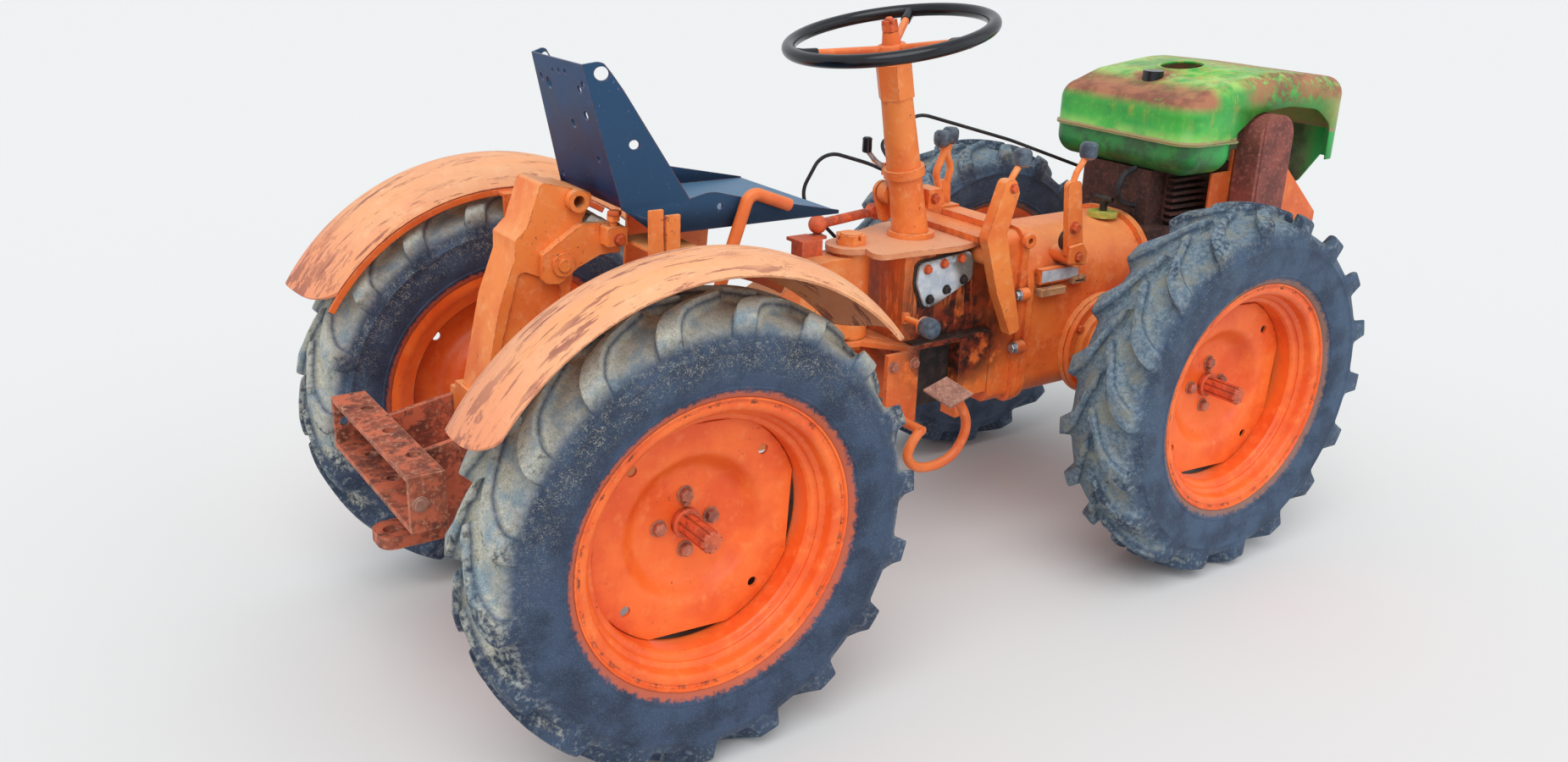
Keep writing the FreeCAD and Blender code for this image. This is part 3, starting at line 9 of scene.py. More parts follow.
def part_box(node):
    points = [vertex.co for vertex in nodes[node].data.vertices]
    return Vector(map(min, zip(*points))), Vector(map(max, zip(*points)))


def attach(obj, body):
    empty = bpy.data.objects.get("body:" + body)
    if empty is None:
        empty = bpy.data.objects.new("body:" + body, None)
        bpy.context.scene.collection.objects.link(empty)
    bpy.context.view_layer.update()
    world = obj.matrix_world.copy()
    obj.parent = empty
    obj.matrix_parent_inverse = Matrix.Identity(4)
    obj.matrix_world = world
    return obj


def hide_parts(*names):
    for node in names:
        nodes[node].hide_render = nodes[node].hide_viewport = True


# A small farm tractor, hinged in its middle: paint, rubber, bolts and trim over the solid parts.
# Lengths are in millimetres from the middle of the rear axle, +X forward, +Y to the driver's left, +Z up.

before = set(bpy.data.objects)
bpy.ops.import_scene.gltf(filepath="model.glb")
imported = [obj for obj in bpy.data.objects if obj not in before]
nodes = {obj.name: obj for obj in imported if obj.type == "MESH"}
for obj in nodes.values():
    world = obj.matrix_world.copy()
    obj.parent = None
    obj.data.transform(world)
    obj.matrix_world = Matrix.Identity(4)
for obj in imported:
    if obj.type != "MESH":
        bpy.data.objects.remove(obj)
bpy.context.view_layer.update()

MM = 0.001
rear_low, rear_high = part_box("rim_rear_right")
front_low, front_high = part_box("rim_front_right")
AXLE = Vector(((rear_low.x + rear_high.x) / 2, 0, (rear_low.z + rear_high.z) / 2))
WHEELBASE = (front_low.x - rear_low.x) / MM
FRONT = "front_body"
REAR = "rear_body"


def at(x, y, z):
    """A point of the tractor, in metres of the shared frame."""
    return AXLE + Vector((x, y, z)) * MM


# Camera, floor and light

CAMERA_PLACE = (-854.9, -1802.9, 853.6)
CAMERA_YAW, CAMERA_PITCH, CAMERA_ROLL = 0.6073, -0.3561, 0.0325
CAMERA_LENS = 29.81


def add_camera():
    """The photograph's own viewpoint: yaw from +Y towards +X, pitch above the horizon, roll to the right."""
    data = bpy.data.cameras.new("Camera")
    data.sensor_width = 36
    data.lens = CAMERA_LENS
    data.clip_end = 200
    camera = bpy.data.objects.new("Camera", data)
    bpy.context.scene.collection.objects.link(camera)
    yaw, pitch, roll = CAMERA_YAW, CAMERA_PITCH, CAMERA_ROLL
    ahead = Vector((math.sin(yaw) * math.cos(pitch), math.cos(yaw) * math.cos(pitch), math.sin(pitch)))
    level = Vector((math.cos(yaw), -math.sin(yaw), 0))
    upright = level.cross(ahead)
    right = level * math.cos(roll) + upright * math.sin(roll)
    up = upright * math.cos(roll) - level * math.sin(roll)
    camera.matrix_world = Matrix((right, up, -ahead)).transposed().to_4x4()
    camera.location = at(*CAMERA_PLACE)
    bpy.context.scene.camera = camera


def add_lamp(name, kind, place, target, strength, size):
    data = bpy.data.lights.new(name, kind)
    data.energy = strength
    if kind == "SUN":
        data.angle = size
    else:
        data.size = size
    lamp = bpy.data.objects.new(name, data)
    bpy.context.scene.collection.objects.link(lamp)
    lamp.location = place
    lamp.rotation_euler = (Vector(place) - Vector(target)).to_track_quat("Z", "Y").to_euler()


def add_light():
    world = bpy.data.worlds.new("Studio")
    world.use_nodes = True
    bpy.context.scene.world = world
    background = world.node_tree.nodes["Background"]
    background.inputs["Color"].default_value = (0.93, 0.96, 1, 1)
    background.inputs["Strength"].default_value = 0.78
    add_lamp("Key", "SUN", (-3, -4, 7), (0, 0, 0), 1.32, math.radians(50))
    add_lamp("Fill", "SUN", (5, -6, 3), (0, 0, 0.4), 0.35, math.radians(60))
    bpy.context.scene.view_settings.view_transform = "Standard"


# Materials

def tint(red, green, blue):
    """The shader's linear colour for one seen on screen, 0 to 255."""
    share = [c / 255 for c in (red, green, blue)]
    return tuple(c / 12.92 if c < 0.04 else ((c + 0.055) / 1.055) ** 2.4 for c in share) + (1,)


class Finish:
    """One material, put together node by node. Its patterns lie in the piece's own coordinates, in metres."""

    def __init__(self, name, **sockets):
        self.material = bpy.data.materials.new(name)
        self.material.use_nodes = True
        self.tree = self.material.node_tree
        self.shader = self.tree.nodes["Principled BSDF"]
        for socket, value in sockets.items():
            self.shader.inputs[socket.replace("_", " ")].default_value = value
        self.place = self.node("ShaderNodeTexCoord").outputs["Object"]
        self.shape = self.node("ShaderNodeNewGeometry")
        self.relief = None

    def node(self, kind, **settings):
        made = self.tree.nodes.new(kind)
        for name, value in settings.items():
            setattr(made, name, value)
        return made

    def feed(self, socket, value):
        if isinstance(value, bpy.types.NodeSocket):
            self.tree.links.new(value, socket)
        else:
            socket.default_value = value

    def sum(self, operation, *values):
        """One of the Math node's operations."""
        made = self.node("ShaderNodeMath", operation=operation)
        for socket, value in zip(made.inputs, values):
            self.feed(socket, value)
        return made.outputs[0]

    def times(self, *values):
        total = values[0]
        for value in values[1:]:
            total = self.sum("MULTIPLY", total, value)
        return total

    def most(self, *values):
        total = values[0]
        for value in values[1:]:
            total = self.sum("MAXIMUM", total, value)
        return total

    def less(self, value):
        return self.sum("SUBTRACT", 1.0, value)

    def noise(self, size, detail=4, rough=0.6, stretch=(1, 1, 1), shift=0.0, where=None):
        """Cloudy patches of about that size in metres, drawn out by stretch along each axis."""
        mapping = self.node("ShaderNodeMapping")
        mapping.inputs["Location"].default_value = (shift, shift * 1.7, shift * 0.6)
        mapping.inputs["Scale"].default_value = [1 / (size * s) for s in stretch]
        self.feed(mapping.inputs["Vector"], where or self.place)
        cloud = self.node("ShaderNodeTexNoise")
        cloud.inputs["Scale"].default_value = 1
        cloud.inputs["Detail"].default_value = detail
        cloud.inputs["Roughness"].default_value = rough
        self.feed(cloud.inputs["Vector"], mapping.outputs[0])
        return cloud.outputs[0]

    def step(self, value, start, end):
        """0 up to start and 1 from end, smoothly; the other way round where end is below start."""
        ramp = self.node("ShaderNodeMapRange", interpolation_type="SMOOTHSTEP")
        self.feed(ramp.inputs["Value"], value)
        ramp.inputs["From Min"].default_value = min(start, end)
        ramp.inputs["From Max"].default_value = max(start, end)
        ramp.inputs["To Min"].default_value = 0 if start < end else 1
        ramp.inputs["To Max"].default_value = 1 if start < end else 0
        return ramp.outputs[0]

    def blend(self, share, a, b, kind="MIX"):
        mix = self.node("ShaderNodeMix", data_type="RGBA", blend_type=kind)
        self.feed(mix.inputs[0], share)
        self.feed(mix.inputs[6], a)
        self.feed(mix.inputs[7], b)
        return mix.outputs[2]

    def number(self, share, a, b):
        mix = self.node("ShaderNodeMix", data_type="FLOAT")
        self.feed(mix.inputs[0], share)
        self.feed(mix.inputs[2], a)
        self.feed(mix.inputs[3], b)
        return mix.outputs[0]

    def axes(self, vector=None):
        parts = self.node("ShaderNodeSeparateXYZ")
        self.feed(parts.inputs[0], vector or self.place)
        return parts.outputs

    def upward(self):
        """How far the surface faces up, -1 to 1."""
        return self.axes(self.shape.outputs["Normal"])[2]

    def away(self, place, centre_at=(1, 1, 1)):
        """Distance from a place of the frame, in metres, along the axes that aren't 0."""
        gap = self.node("ShaderNodeVectorMath", operation="SUBTRACT")
        self.feed(gap.inputs[0], self.place)
        gap.inputs[1].default_value = place
        scaled = self.node("ShaderNodeVectorMath", operation="MULTIPLY")
        self.feed(scaled.inputs[0], gap.outputs[0])
        scaled.inputs[1].default_value = centre_at
        length = self.node("ShaderNodeVectorMath", operation="LENGTH")
        self.feed(length.inputs[0], scaled.outputs[0])
        return length.outputs["Value"]

    def round_axle(self, place):
        """Coordinates that run along a wheel's circumference, across it and outwards from its axle."""
        x, y, z = self.axes()
        x = self.sum("SUBTRACT", x, place[0])
        z = self.sum("SUBTRACT", z, place[2])
        made = self.node("ShaderNodeCombineXYZ")
        self.feed(made.inputs[0], self.times(self.sum("ARCTAN2", x, z), 0.36))
        self.feed(made.inputs[1], y)
        self.feed(made.inputs[2], self.sum("SQRT", self.sum("ADD", self.times(x, x), self.times(z, z))))
        return made.outputs[0]

    def hollow(self, reach=0.03):
        """Where the surface lies in a corner, 0 to 1."""
        shade = self.node("ShaderNodeAmbientOcclusion", samples=4)
        shade.inputs["Distance"].default_value = reach
        return self.less(shade.outputs["AO"])

    def edge(self, radius=0.003):
        """Where the surface turns sharply, 0 to 1."""
        rounded = self.node("ShaderNodeBevel", samples=4)
        rounded.inputs["Radius"].default_value = radius
        dot = self.node("ShaderNodeVectorMath", operation="DOT_PRODUCT")
        self.feed(dot.inputs[0], rounded.outputs[0])
        self.feed(dot.inputs[1], self.shape.outputs["Normal"])
        return self.step(dot.outputs["Value"], 0.99, 0.86)

    def bump(self, height, depth, strength=1.0):
        """Adds relief, its depth in metres."""
        made = self.node("ShaderNodeBump")
        made.inputs["Strength"].default_value = strength
        made.inputs["Distance"].default_value = depth
        self.feed(made.inputs["Height"], height)
        if self.relief:
            self.feed(made.inputs["Normal"], self.relief)
        self.relief = made.outputs[0]

    def done(self, colour, roughness):
        self.feed(self.shader.inputs["Base Color"], colour)
        self.feed(self.shader.inputs["Roughness"], roughness)
        if self.relief:
            self.feed(self.shader.inputs["Normal"], self.relief)
        return self.material


RUST = tint(104, 58, 44)
PALE_RUST = tint(168, 96, 70)
OIL_AND_SHADE = tint(46, 33, 30)
DUST = tint(196, 168, 140)


def painted(name, base, pale, deep, chips=0.5, grime_and_shade=0.5, upward_paling=0.4, wear=0.6, rough=0.42, extra=None):
    """Old paint: uneven, paler where it faces up, chipped to rust in patches and on its edges, darkened towards an oily
    colour in its corners and where it faces down, partly oil dirt and partly painted shade.
    """
    f = Finish(name)
    f.shader.inputs["Specular IOR Level"].default_value = 0.45
    colour = f.blend(f.step(f.noise(0.11, 4), 0.36, 0.62), deep, base)
    mottle = f.noise(0.022, 6, 0.68, shift=3)
    colour = f.blend(f.times(f.step(mottle, 0.5, 0.74), 0.55), colour, pale)
    colour = f.blend(f.times(f.step(f.upward(), 0.3, 0.95), upward_paling), colour, pale)
    stain = f.step(f.noise(0.05, 7, 0.7, shift=7), 0.35, 0.62)
    # Darker in corners, broken up by stains: oil dirt and painted shade.
    dirt_and_shade = f.times(f.step(f.hollow(0.035), 0.25, 0.85), stain, grime_and_shade)
    # Darker where the surface faces down: painted shade, with some grime.
    under = f.times(f.step(f.upward(), 0.1, -0.8), grime_and_shade, 0.55)
    dirt_and_shade = f.most(dirt_and_shade, under)
    speck = f.step(f.noise(0.0075, 9, 0.72, shift=11), 0.63 - 0.05 * chips, 0.67 - 0.05 * chips)
    patch = f.step(f.noise(0.07, 5, 0.6, shift=5), 0.48, 0.66)
    chip = f.times(speck, patch)
    rubbed = f.times(f.edge(), f.step(f.noise(0.014, 6, 0.7, shift=13), 0.6 - 0.2 * wear, 0.72 - 0.2 * wear))
    bare = f.most(chip, rubbed)
    colour = f.blend(bare, colour, f.blend(f.step(mottle, 0.4, 0.6), RUST, PALE_RUST))
    roughness = f.number(bare, f.number(mottle, rough - 0.08, rough + 0.14), 0.85)
    if extra:
        colour, roughness = extra(f, colour, roughness)
    colour = f.blend(dirt_and_shade, colour, OIL_AND_SHADE)
    f.bump(bare, 0.0006, 0.6)
    f.bump(f.noise(0.004, 4, 0.6, shift=17), 0.0004, 0.35)
    f.bump(f.noise(0.05, 3, 0.5, shift=19), 0.004, 0.3)
    return f.done(colour, roughness)


def fender_marks(f, colour, roughness):
    """Long brown scratches that run along the fender, and darker patches near its ends."""
    ring = f.round_axle(AXLE)
    long = f.noise(0.014, 7, 0.66, (6, 1, 1), 2, ring)
    band = f.step(f.noise(0.09, 4, 0.6, (2.5, 1, 1), 4, ring), 0.36, 0.56)
    mark = f.times(f.step(long, 0.555, 0.6), band)
    fine = f.times(f.step(f.noise(0.006, 6, 0.66, (10, 1, 1), 8, ring), 0.6, 0.65), 0.8)
    worn = f.most(mark, fine)
    streak = f.step(f.noise(0.03, 5, 0.6, (8, 1, 1), 6, ring), 0.45, 0.65)
    colour = f.blend(f.times(streak, 0.5), colour, tint(250, 170, 108))
    low_end = f.step(f.axes()[0], at(-200, 0, 0).x, at(-380, 0, 0).x)
    colour = f.blend(f.times(low_end, 0.7), colour, tint(232, 140, 104))
    flaked = f.times(f.step(f.noise(0.04, 8, 0.7, (2.4, 1, 1), 12, ring), 0.55, 0.58), low_end)
    worn = f.most(worn, flaked)
    colour = f.blend(f.times(worn, 0.9), colour, tint(160, 98, 84))
    f.bump(worn, 0.0005, 0.5)
    return colour, f.number(worn, roughness, 0.8)


def case_marks(f, colour, roughness):
    """Oil and rust that ran down from the cover, and wet dirt on the shelf under it."""
    near = f.step(f.away(at(694, -110, 165), (1, 0.4, 1)), 0.16, 0.06)
    runs = f.step(f.noise(0.02, 6, 0.65, (1, 1, 5), 21), 0.36, 0.52)
    wet = f.times(near, runs)
    shelf = f.times(f.step(f.away(at(704, -110, 90), (0.7, 0.4, 1)), 0.125, 0.05), f.step(f.noise(0.03, 6, shift=9), 0.3, 0.5))
    oil = f.most(wet, shelf)
    stain = f.blend(f.step(f.noise(0.025, 6, 0.7, shift=31), 0.42, 0.6), OIL_AND_SHADE, tint(128, 52, 34))
    colour = f.blend(oil, colour, stain)
    return colour, f.number(oil, roughness, 0.3)


def hood_marks(f, colour, roughness):
    """Yellowed and rusty top, brown along the back edge and at the front, tan seam, dirty pan painted darker as shade,
    with a brighter patch of painted light at its right rear corner.
    """
    x, y, z = f.axes()
    seam, crown = at(0, 0, 430).z, at(0, 0, 545).z
    top = f.step(f.upward(), 0.35, 0.9)
    cloud = f.noise(0.06, 6, 0.65, shift=2)
    fine = f.noise(0.018, 8, 0.72, shift=4)
    colour = f.blend(f.times(top, f.step(cloud, 0.36, 0.6)), colour, tint(166, 210, 106))
    colour = f.blend(f.times(top, f.step(fine, 0.52, 0.66), 0.8), colour, tint(176, 128, 84))
    front = f.step(x, at(1400, 0, 0).x, at(1660, 0, 0).x)
    olive = f.times(f.most(f.times(front, top), f.step(x, at(1580, 0, 0).x, at(1690, 0, 0).x)), f.step(cloud, 0.28, 0.52))
    colour = f.blend(olive, colour, tint(170, 164, 100))
    rim = f.times(f.step(z, crown - 0.064, crown - 0.034), f.step(f.upward(), 0.992, 0.93))
    edge = f.times(f.step(x, at(1300, 0, 0).x, at(1256, 0, 0).x), rim, 1.25)
    side = f.times(f.step(f.sum("ABSOLUTE", y), 0.12, 0.15), rim, f.step(x, at(1330, 0, 0).x, at(1400, 0, 0).x))
    slope = f.times(top, f.step(x, at(1400, 0, 0).x, at(1560, 0, 0).x), f.step(cloud, 0.42, 0.54))
    mixed = f.sum("ADD", fine, f.times(cloud, 0.4))
    bare = f.times(f.most(f.times(side, 0.9), slope), f.step(mixed, 0.58, 0.72))
    bare = f.most(f.times(edge, f.step(mixed, 0.49, 0.62)), bare)
    ring = f.times(f.step(f.away(at(1300, 10, 548)), 0.075, 0.03), f.step(fine, 0.36, 0.5))
    bare = f.most(bare, ring)
    colour = f.blend(bare, colour, f.blend(f.step(cloud, 0.4, 0.6), tint(140, 88, 70), tint(176, 116, 86)))
    drips = f.times(f.step(f.noise(0.022, 6, 0.7, (1, 1, 4), 12), 0.52, 0.64), f.step(z, crown - 0.11, crown - 0.03))
    colour = f.blend(f.times(drips, 0.75, f.less(front), f.less(bare)), colour, tint(190, 170, 70))
    low = f.step(z, seam + 0.002, seam - 0.006)
    dirt_and_shade = f.times(low, f.step(f.noise(0.05, 6, 0.7, shift=14), 0.42, 0.62))
    # The pan's right rear corner is painted brighter green: painted light.
    bright = f.times(f.step(x, at(1240, 0, 0).x, at(1330, 0, 0).x), f.step(y, -0.08, -0.13))
    colour = f.blend(f.times(low, bright), colour, tint(52, 190, 90))
    # The rest of the pan is painted darker green: painted shade.
    colour = f.blend(f.times(low, f.less(bright), 0.6), colour, tint(34, 116, 72))
    colour = f.blend(f.times(dirt_and_shade, f.less(bright), 0.7), colour, tint(54, 72, 54))
    band = f.times(f.step(z, seam - 0.005, seam - 0.002), f.step(z, seam + 0.006, seam + 0.003))
    lip = f.times(band, f.step(fine, 0.3, 0.5))
    colour = f.blend(lip, colour, tint(170, 150, 104))
    return colour, f.number(bare, roughness, 0.8)


def rusty(name, base, pale, deep, paint=None, rough=0.8):
    """Bare rusted metal, with what is left of its paint."""
    f = Finish(name)
    cloud = f.noise(0.05, 6, 0.68)
    fine = f.noise(0.009, 8, 0.7, shift=3)
    colour = f.blend(f.step(cloud, 0.36, 0.62), deep, base)
    colour = f.blend(f.times(f.step(fine, 0.5, 0.66), 0.7), colour, pale)
    if paint:
        left = f.times(f.step(f.noise(0.03, 8, 0.72, shift=6), 0.46, 0.58), f.less(f.times(f.edge(), 0.8)))
        colour = f.blend(left, colour, paint)
    colour = f.blend(f.times(f.edge(), 0.5), colour, pale)
    # Darker in its corners: painted shade.
    colour = f.blend(f.times(f.step(f.hollow(0.03), 0.3, 0.9), 0.6), colour, OIL_AND_SHADE)
    f.bump(fine, 0.0012, 0.6)
    f.bump(f.noise(0.003, 5, 0.7, shift=9), 0.0005, 0.5)
    return f.done(colour, f.number(fine, rough - 0.1, rough + 0.12))


def rubber(name, base, deep, mud_share, ring, earths, peak=-15):
    """Worn tyre rubber: mud caked on the tread and in its gaps, thickest round one angle, dust, paint by the rim."""
    f = Finish(name)
    f.shader.inputs["Specular IOR Level"].default_value = 0.3
    lug = f.node("ShaderNodeAttribute", attribute_name="lug").outputs["Fac"]
    x, y, z = f.axes()
    radius = f.away((0, 0, 0), (1, 0, 1))
    toward = f.sum("ADD", f.times(x, math.sin(math.radians(peak)) / 0.35), f.times(z, math.cos(math.radians(peak)) / 0.35))
    cloud = f.noise(0.07, 5, 0.65)
    fine = f.noise(0.009, 8, 0.72, shift=2)
    grain = f.noise(0.0022, 4, 0.7, shift=6)
    colour = f.blend(f.step(cloud, 0.36, 0.62), deep, base)
    patchy = f.sum("ADD", f.times(cloud, 0.55), f.times(fine, 0.45))
    patchy = f.sum("ADD", patchy, f.times(toward, 0.2))
    level = 0.6 - 0.2 * mud_share
    tread = f.step(radius, 0.306, 0.336)
    gap = f.times(f.step(lug, 0.7, 0.2), tread, f.step(patchy, level - 0.06, level + 0.03))
    top = f.times(f.step(lug, 0.5, 0.9), f.step(radius, 0.308, 0.345), f.step(patchy, level, level + 0.12))
    speckle = f.times(f.step(grain, 0.47, 0.6), f.step(fine, 0.4, 0.6))
    wall = f.times(speckle, f.step(radius, 0.322, 0.3), f.step(radius, 0.247, 0.285), f.step(toward, 0.05, 0.75))
    mud = f.most(gap, f.times(top, 0.85), f.times(wall, 0.25 + 0.5 * mud_share))
    mud = f.times(mud, f.number(f.step(grain, 0.38, 0.56), 0.66, 1))
    earth = f.blend(f.step(fine, 0.38, 0.62), earths[0], earths[1])
    earth = f.blend(f.step(f.noise(0.04, 5, 0.6, shift=8), 0.46, 0.66), earth, earths[2])
    colour = f.blend(mud, colour, earth)
    scuff = f.times(f.step(fine, 0.5, 0.64), f.step(radius, 0.29, 0.33), 0.5)
    colour = f.blend(scuff, colour, tint(150, 160, 166))
    colour = f.blend(f.times(f.step(grain, 0.5, 0.68), 0.22), colour, tint(140, 146, 150))
    paint = f.sum("ADD", radius, f.times(fine, 0.03))
    colour = f.blend(f.times(f.step(paint, 0.2515, 0.2445), ring[0]), colour, ring[1])
    f.bump(mud, 0.002, 0.6)
    f.bump(fine, 0.002, 0.55)
    f.bump(grain, 0.0006, 0.5)
    return f.done(colour, f.number(mud, f.number(fine, 0.42, 0.7), 0.95))


def plain(name, base, pale, rough, metal=0.0, size=0.01, depth=0.0003, worn=None):
    """Rubber, plastic or bare metal with slight patches and rubbed edges."""
    f = Finish(name)
    f.shader.inputs["Metallic"].default_value = metal
    cloud = f.noise(size, 6, 0.65)
    colour = f.blend(f.step(cloud, 0.4, 0.66), base, pale)
    colour = f.blend(f.times(f.edge(0.002), 0.6), colour, worn or pale)
    f.bump(f.noise(size / 4, 5, 0.7, shift=4), depth, 0.5)
    return f.done(colour, f.number(cloud, rough - 0.08, rough + 0.12))


def seat_paint():
    """Dark sheet with a blue cast, speckled, rust on its edges and in spots; with painted light, lighter on its sides
    and paler where it faces up at its folds, and painted shadow low on its sides.
    """
    f = Finish("seat_paint")
    f.shader.inputs["Specular IOR Level"].default_value = 0.5
    f.shader.inputs["Specular Tint"].default_value = tint(150, 196, 246)
    fine = f.noise(0.007, 8, 0.72, shift=2)
    cloud = f.noise(0.06, 5, 0.6)
    facing = f.axes(f.shape.outputs["Normal"])
    wing = f.step(f.sum("ABSOLUTE", facing[1]), 0.12, 0.4)
    colour = f.blend(f.step(cloud, 0.36, 0.62), tint(14, 42, 80), tint(24, 58, 100))
    # Lighter where it faces sideways: painted light on the seat's sides.
    colour = f.blend(wing, colour, tint(46, 74, 104))
    low = f.step(f.axes()[2], at(0, 0, 425).z, at(0, 0, 385).z)
    # Nearly black low on the sides: painted shadow.
    colour = f.blend(f.times(wing, low, 0.85), colour, tint(20, 22, 34))
    # Paler where it faces up, at the folds: painted highlight.
    colour = f.blend(f.times(f.step(facing[2], 0.5, 0.95), 0.8), colour, tint(96, 130, 158))
    speck = f.step(fine, 0.66, 0.72)
    colour = f.blend(f.times(speck, 0.8), colour, tint(150, 158, 170))
    spot = f.step(f.away(at(48, -150, 486), (1, 0.5, 0.6)), 0.014, 0.006)
    bare = f.most(f.times(f.edge(), f.step(fine, 0.42, 0.56), 0.8), f.times(spot, f.step(fine, 0.42, 0.5)))
    colour = f.blend(bare, colour, tint(132, 78, 62))
    flake = f.step(f.noise(0.004, 6, 0.75, (1, 1, 3), 31), 0.65, 0.7)
    colour = f.blend(f.times(flake, 0.7), colour, tint(150, 160, 178))
    f.bump(fine, 0.0004, 0.4)
    return f.done(colour, f.number(cloud, 0.36, 0.56))


def cover_metal():
    """A cast aluminium cover: bright and uneven, with yellow and brown oil stains."""
    f = Finish("stained_aluminium")
    f.shader.inputs["Metallic"].default_value = 0.35
    cloud = f.noise(0.03, 6, 0.7)
    fine = f.noise(0.005, 7, 0.7, shift=2)
    colour = f.blend(f.step(cloud, 0.4, 0.6), tint(200, 212, 224), tint(228, 234, 240))
    edge = f.step(f.away(at(655, -96, 204), (1, 0, 1.3)), 0.045, 0.068)
    low = f.step(f.axes()[2], at(0, 0, 190).z, at(0, 0, 165).z)
    stain = f.times(f.most(f.times(edge, 0.8), low), f.step(cloud, 0.36, 0.52))
    colour = f.blend(stain, colour, f.blend(f.step(fine, 0.4, 0.6), tint(104, 96, 60), tint(70, 56, 46)))
    f.bump(fine, 0.0006, 0.5)
    return f.done(colour, f.number(cloud, 0.35, 0.6))


ORANGE = (238, 104, 44)

looks = {
    "wheel": painted("wheel_paint", tint(253, 116, 44), tint(255, 144, 76), tint(238, 92, 32), 0.35, 0.35, 0.12, 0.5, 0.36),
    "cast": painted("cast_paint", tint(250, 141, 67), tint(252, 185, 126), tint(238, 117, 52), 0.7, 0.55, 0.5, 0.7, 0.45),
    "case": painted("case_paint", tint(248, 128, 58), tint(250, 172, 112), tint(230, 102, 46), 0.7, 0.6, 0.5, 0.7, 0.42,
                    case_marks),
    "sheet": painted("sheet_paint", tint(240, 118, 50), tint(248, 158, 98), tint(222, 98, 44), 0.4, 0.3, 0.4, 0.5, 0.42),
    "faded": painted("fender_paint", tint(242, 172, 122), tint(250, 198, 154), tint(238, 156, 110), 0.45, 0.12, 0.3, 0.9,
                     0.5, fender_marks),
    "plate": painted("plate_paint", tint(232, 156, 110), tint(242, 190, 150), tint(216, 132, 88), 0.4, 0.3, 0.5, 0.6, 0.5),
    "green": painted("hood_paint", tint(66, 178, 66), tint(124, 206, 78), tint(48, 156, 66), 0.3, 0.2, 0.1, 0.5, 0.36,
                     hood_marks),
    "hitch": rusty("hitch_rust", tint(158, 84, 62), tint(222, 164, 130), tint(108, 58, 46), tint(206, 110, 78)),
    "engine": rusty("engine_iron", tint(84, 52, 46), tint(122, 78, 66), tint(50, 36, 34)),
    "muffler": rusty("muffler_rust", tint(148, 80, 70), tint(186, 118, 102), tint(112, 62, 56)),
    "stub": rusty("shaft_rust", tint(212, 96, 58), tint(232, 130, 92), tint(160, 70, 50), tint(236, 104, 56), 0.6),
    "bolt": rusty("bolt_rust", tint(184, 108, 84), tint(220, 156, 128), tint(126, 74, 60), None, 0.65),
    "tan": rusty("tan_metal", tint(200, 146, 100), tint(226, 184, 142), tint(150, 100, 66)),
    "orange_bolt": painted("bolt_paint", tint(228, 100, 48), tint(240, 140, 90), tint(190, 76, 40), 0.9, 0.4, 0.2, 0.9),
    "steel": plain("plated_steel", tint(150, 156, 160), tint(196, 202, 206), 0.35, 0.8),
    "black": plain("black_gloss", tint(8, 10, 16), tint(18, 22, 32), 0.2, 0, 0.03, 0.0001, tint(40, 44, 54)),
    "rubber": plain("black_rubber", tint(24, 24, 28), tint(44, 44, 50), 0.6),
    "knob": plain("grey_knob", tint(58, 70, 84), tint(98, 112, 126), 0.4, 0, 0.02),
    # Oily black, also used for dark pieces that stand in for shade.
    "dark": plain("oily_black_and_shade", tint(30, 25, 24), tint(62, 48, 42), 0.45, 0, 0.02, 0.001),
    "brass": plain("greasy_brass", tint(176, 176, 70), tint(214, 208, 110), 0.4, 0.1, 0.02),
    "label": plain("bare_plate", tint(190, 204, 212), tint(226, 234, 240), 0.4, 0.15, 0.02, 0.0004, tint(120, 110, 96)),
    "tread": rusty("pedal_tread", tint(176, 124, 104), tint(208, 164, 144), tint(128, 84, 72)),
    "seat": seat_paint(),
    "cover": cover_metal(),
    "tyre_rear": rubber("muddy_tyre", tint(58, 76, 102), tint(40, 54, 76), 0.6, (0.75, tint(214, 104, 62)),
                        (tint(196, 194, 172), tint(232, 228, 212), tint(164, 182, 188))),
    "tyre_front": rubber("worn_tyre", tint(64, 86, 112), tint(44, 60, 84), 0.45, (0.55, tint(176, 122, 90)),
                         (tint(104, 126, 142), tint(150, 168, 178), tint(158, 160, 146)), -60),
}


def dress(name, look, bevel=1.2):
    """Gives a solid its finish, and rounds its edges a little."""
    node = nodes[name]
    node.data.materials.clear()
    node.data.materials.append(looks[look])
    for face in node.data.polygons:
        face.use_smooth = True
    weld = node.modifiers.new("Weld", "WELD")
    weld.merge_threshold = 0.00002
    if bevel:
        round_edges(node, bevel)


def round_edges(thing, width, angle=32):
    bevel = thing.modifiers.new("Bevel", "BEVEL")
    bevel.width = width * MM
    bevel.segments = 2
    bevel.limit_method = "ANGLE"
    bevel.angle_limit = math.radians(angle)
    bevel.harden_normals = False
    normals = thing.modifiers.new("Normals", "WEIGHTED_NORMAL")
    normals.keep_sharp = True
    normals.weight = 80


def add_piece(name, mesh, body, look, place=None):
    """A piece with one finish, riding on a body."""
    thing = bpy.data.objects.new(name, mesh)
    bpy.context.scene.collection.objects.link(thing)
    if place is not None:
        thing.location = place
    mesh.materials.append(looks[look])
    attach(thing, body)
    return thing


# Mesh helpers

def facing(place, direction, spin=0.0):
    """A frame at a place whose third axis points along direction."""
    out = Vector(direction).normalized()
    near = Vector((0, 0, 1)) if abs(out.z) < 0.9 else Vector((1, 0, 0))
    first = near.cross(out).normalized()
    second = out.cross(first)
    made = Matrix((first, second, out)).transposed().to_4x4()
    made.translation = place
    return made @ Matrix.Rotation(math.radians(spin), 4, "Z")


def turned_points(profile, count):
    """Rings of points (x, y, z) from (radius, height) pairs about the third axis."""
    rings = []
    for radius, height in profile:
        angles = [2 * math.pi * i / count for i in range(count)]
        rings.append([(radius * math.cos(a), radius * math.sin(a), height) for a in angles])
    return rings


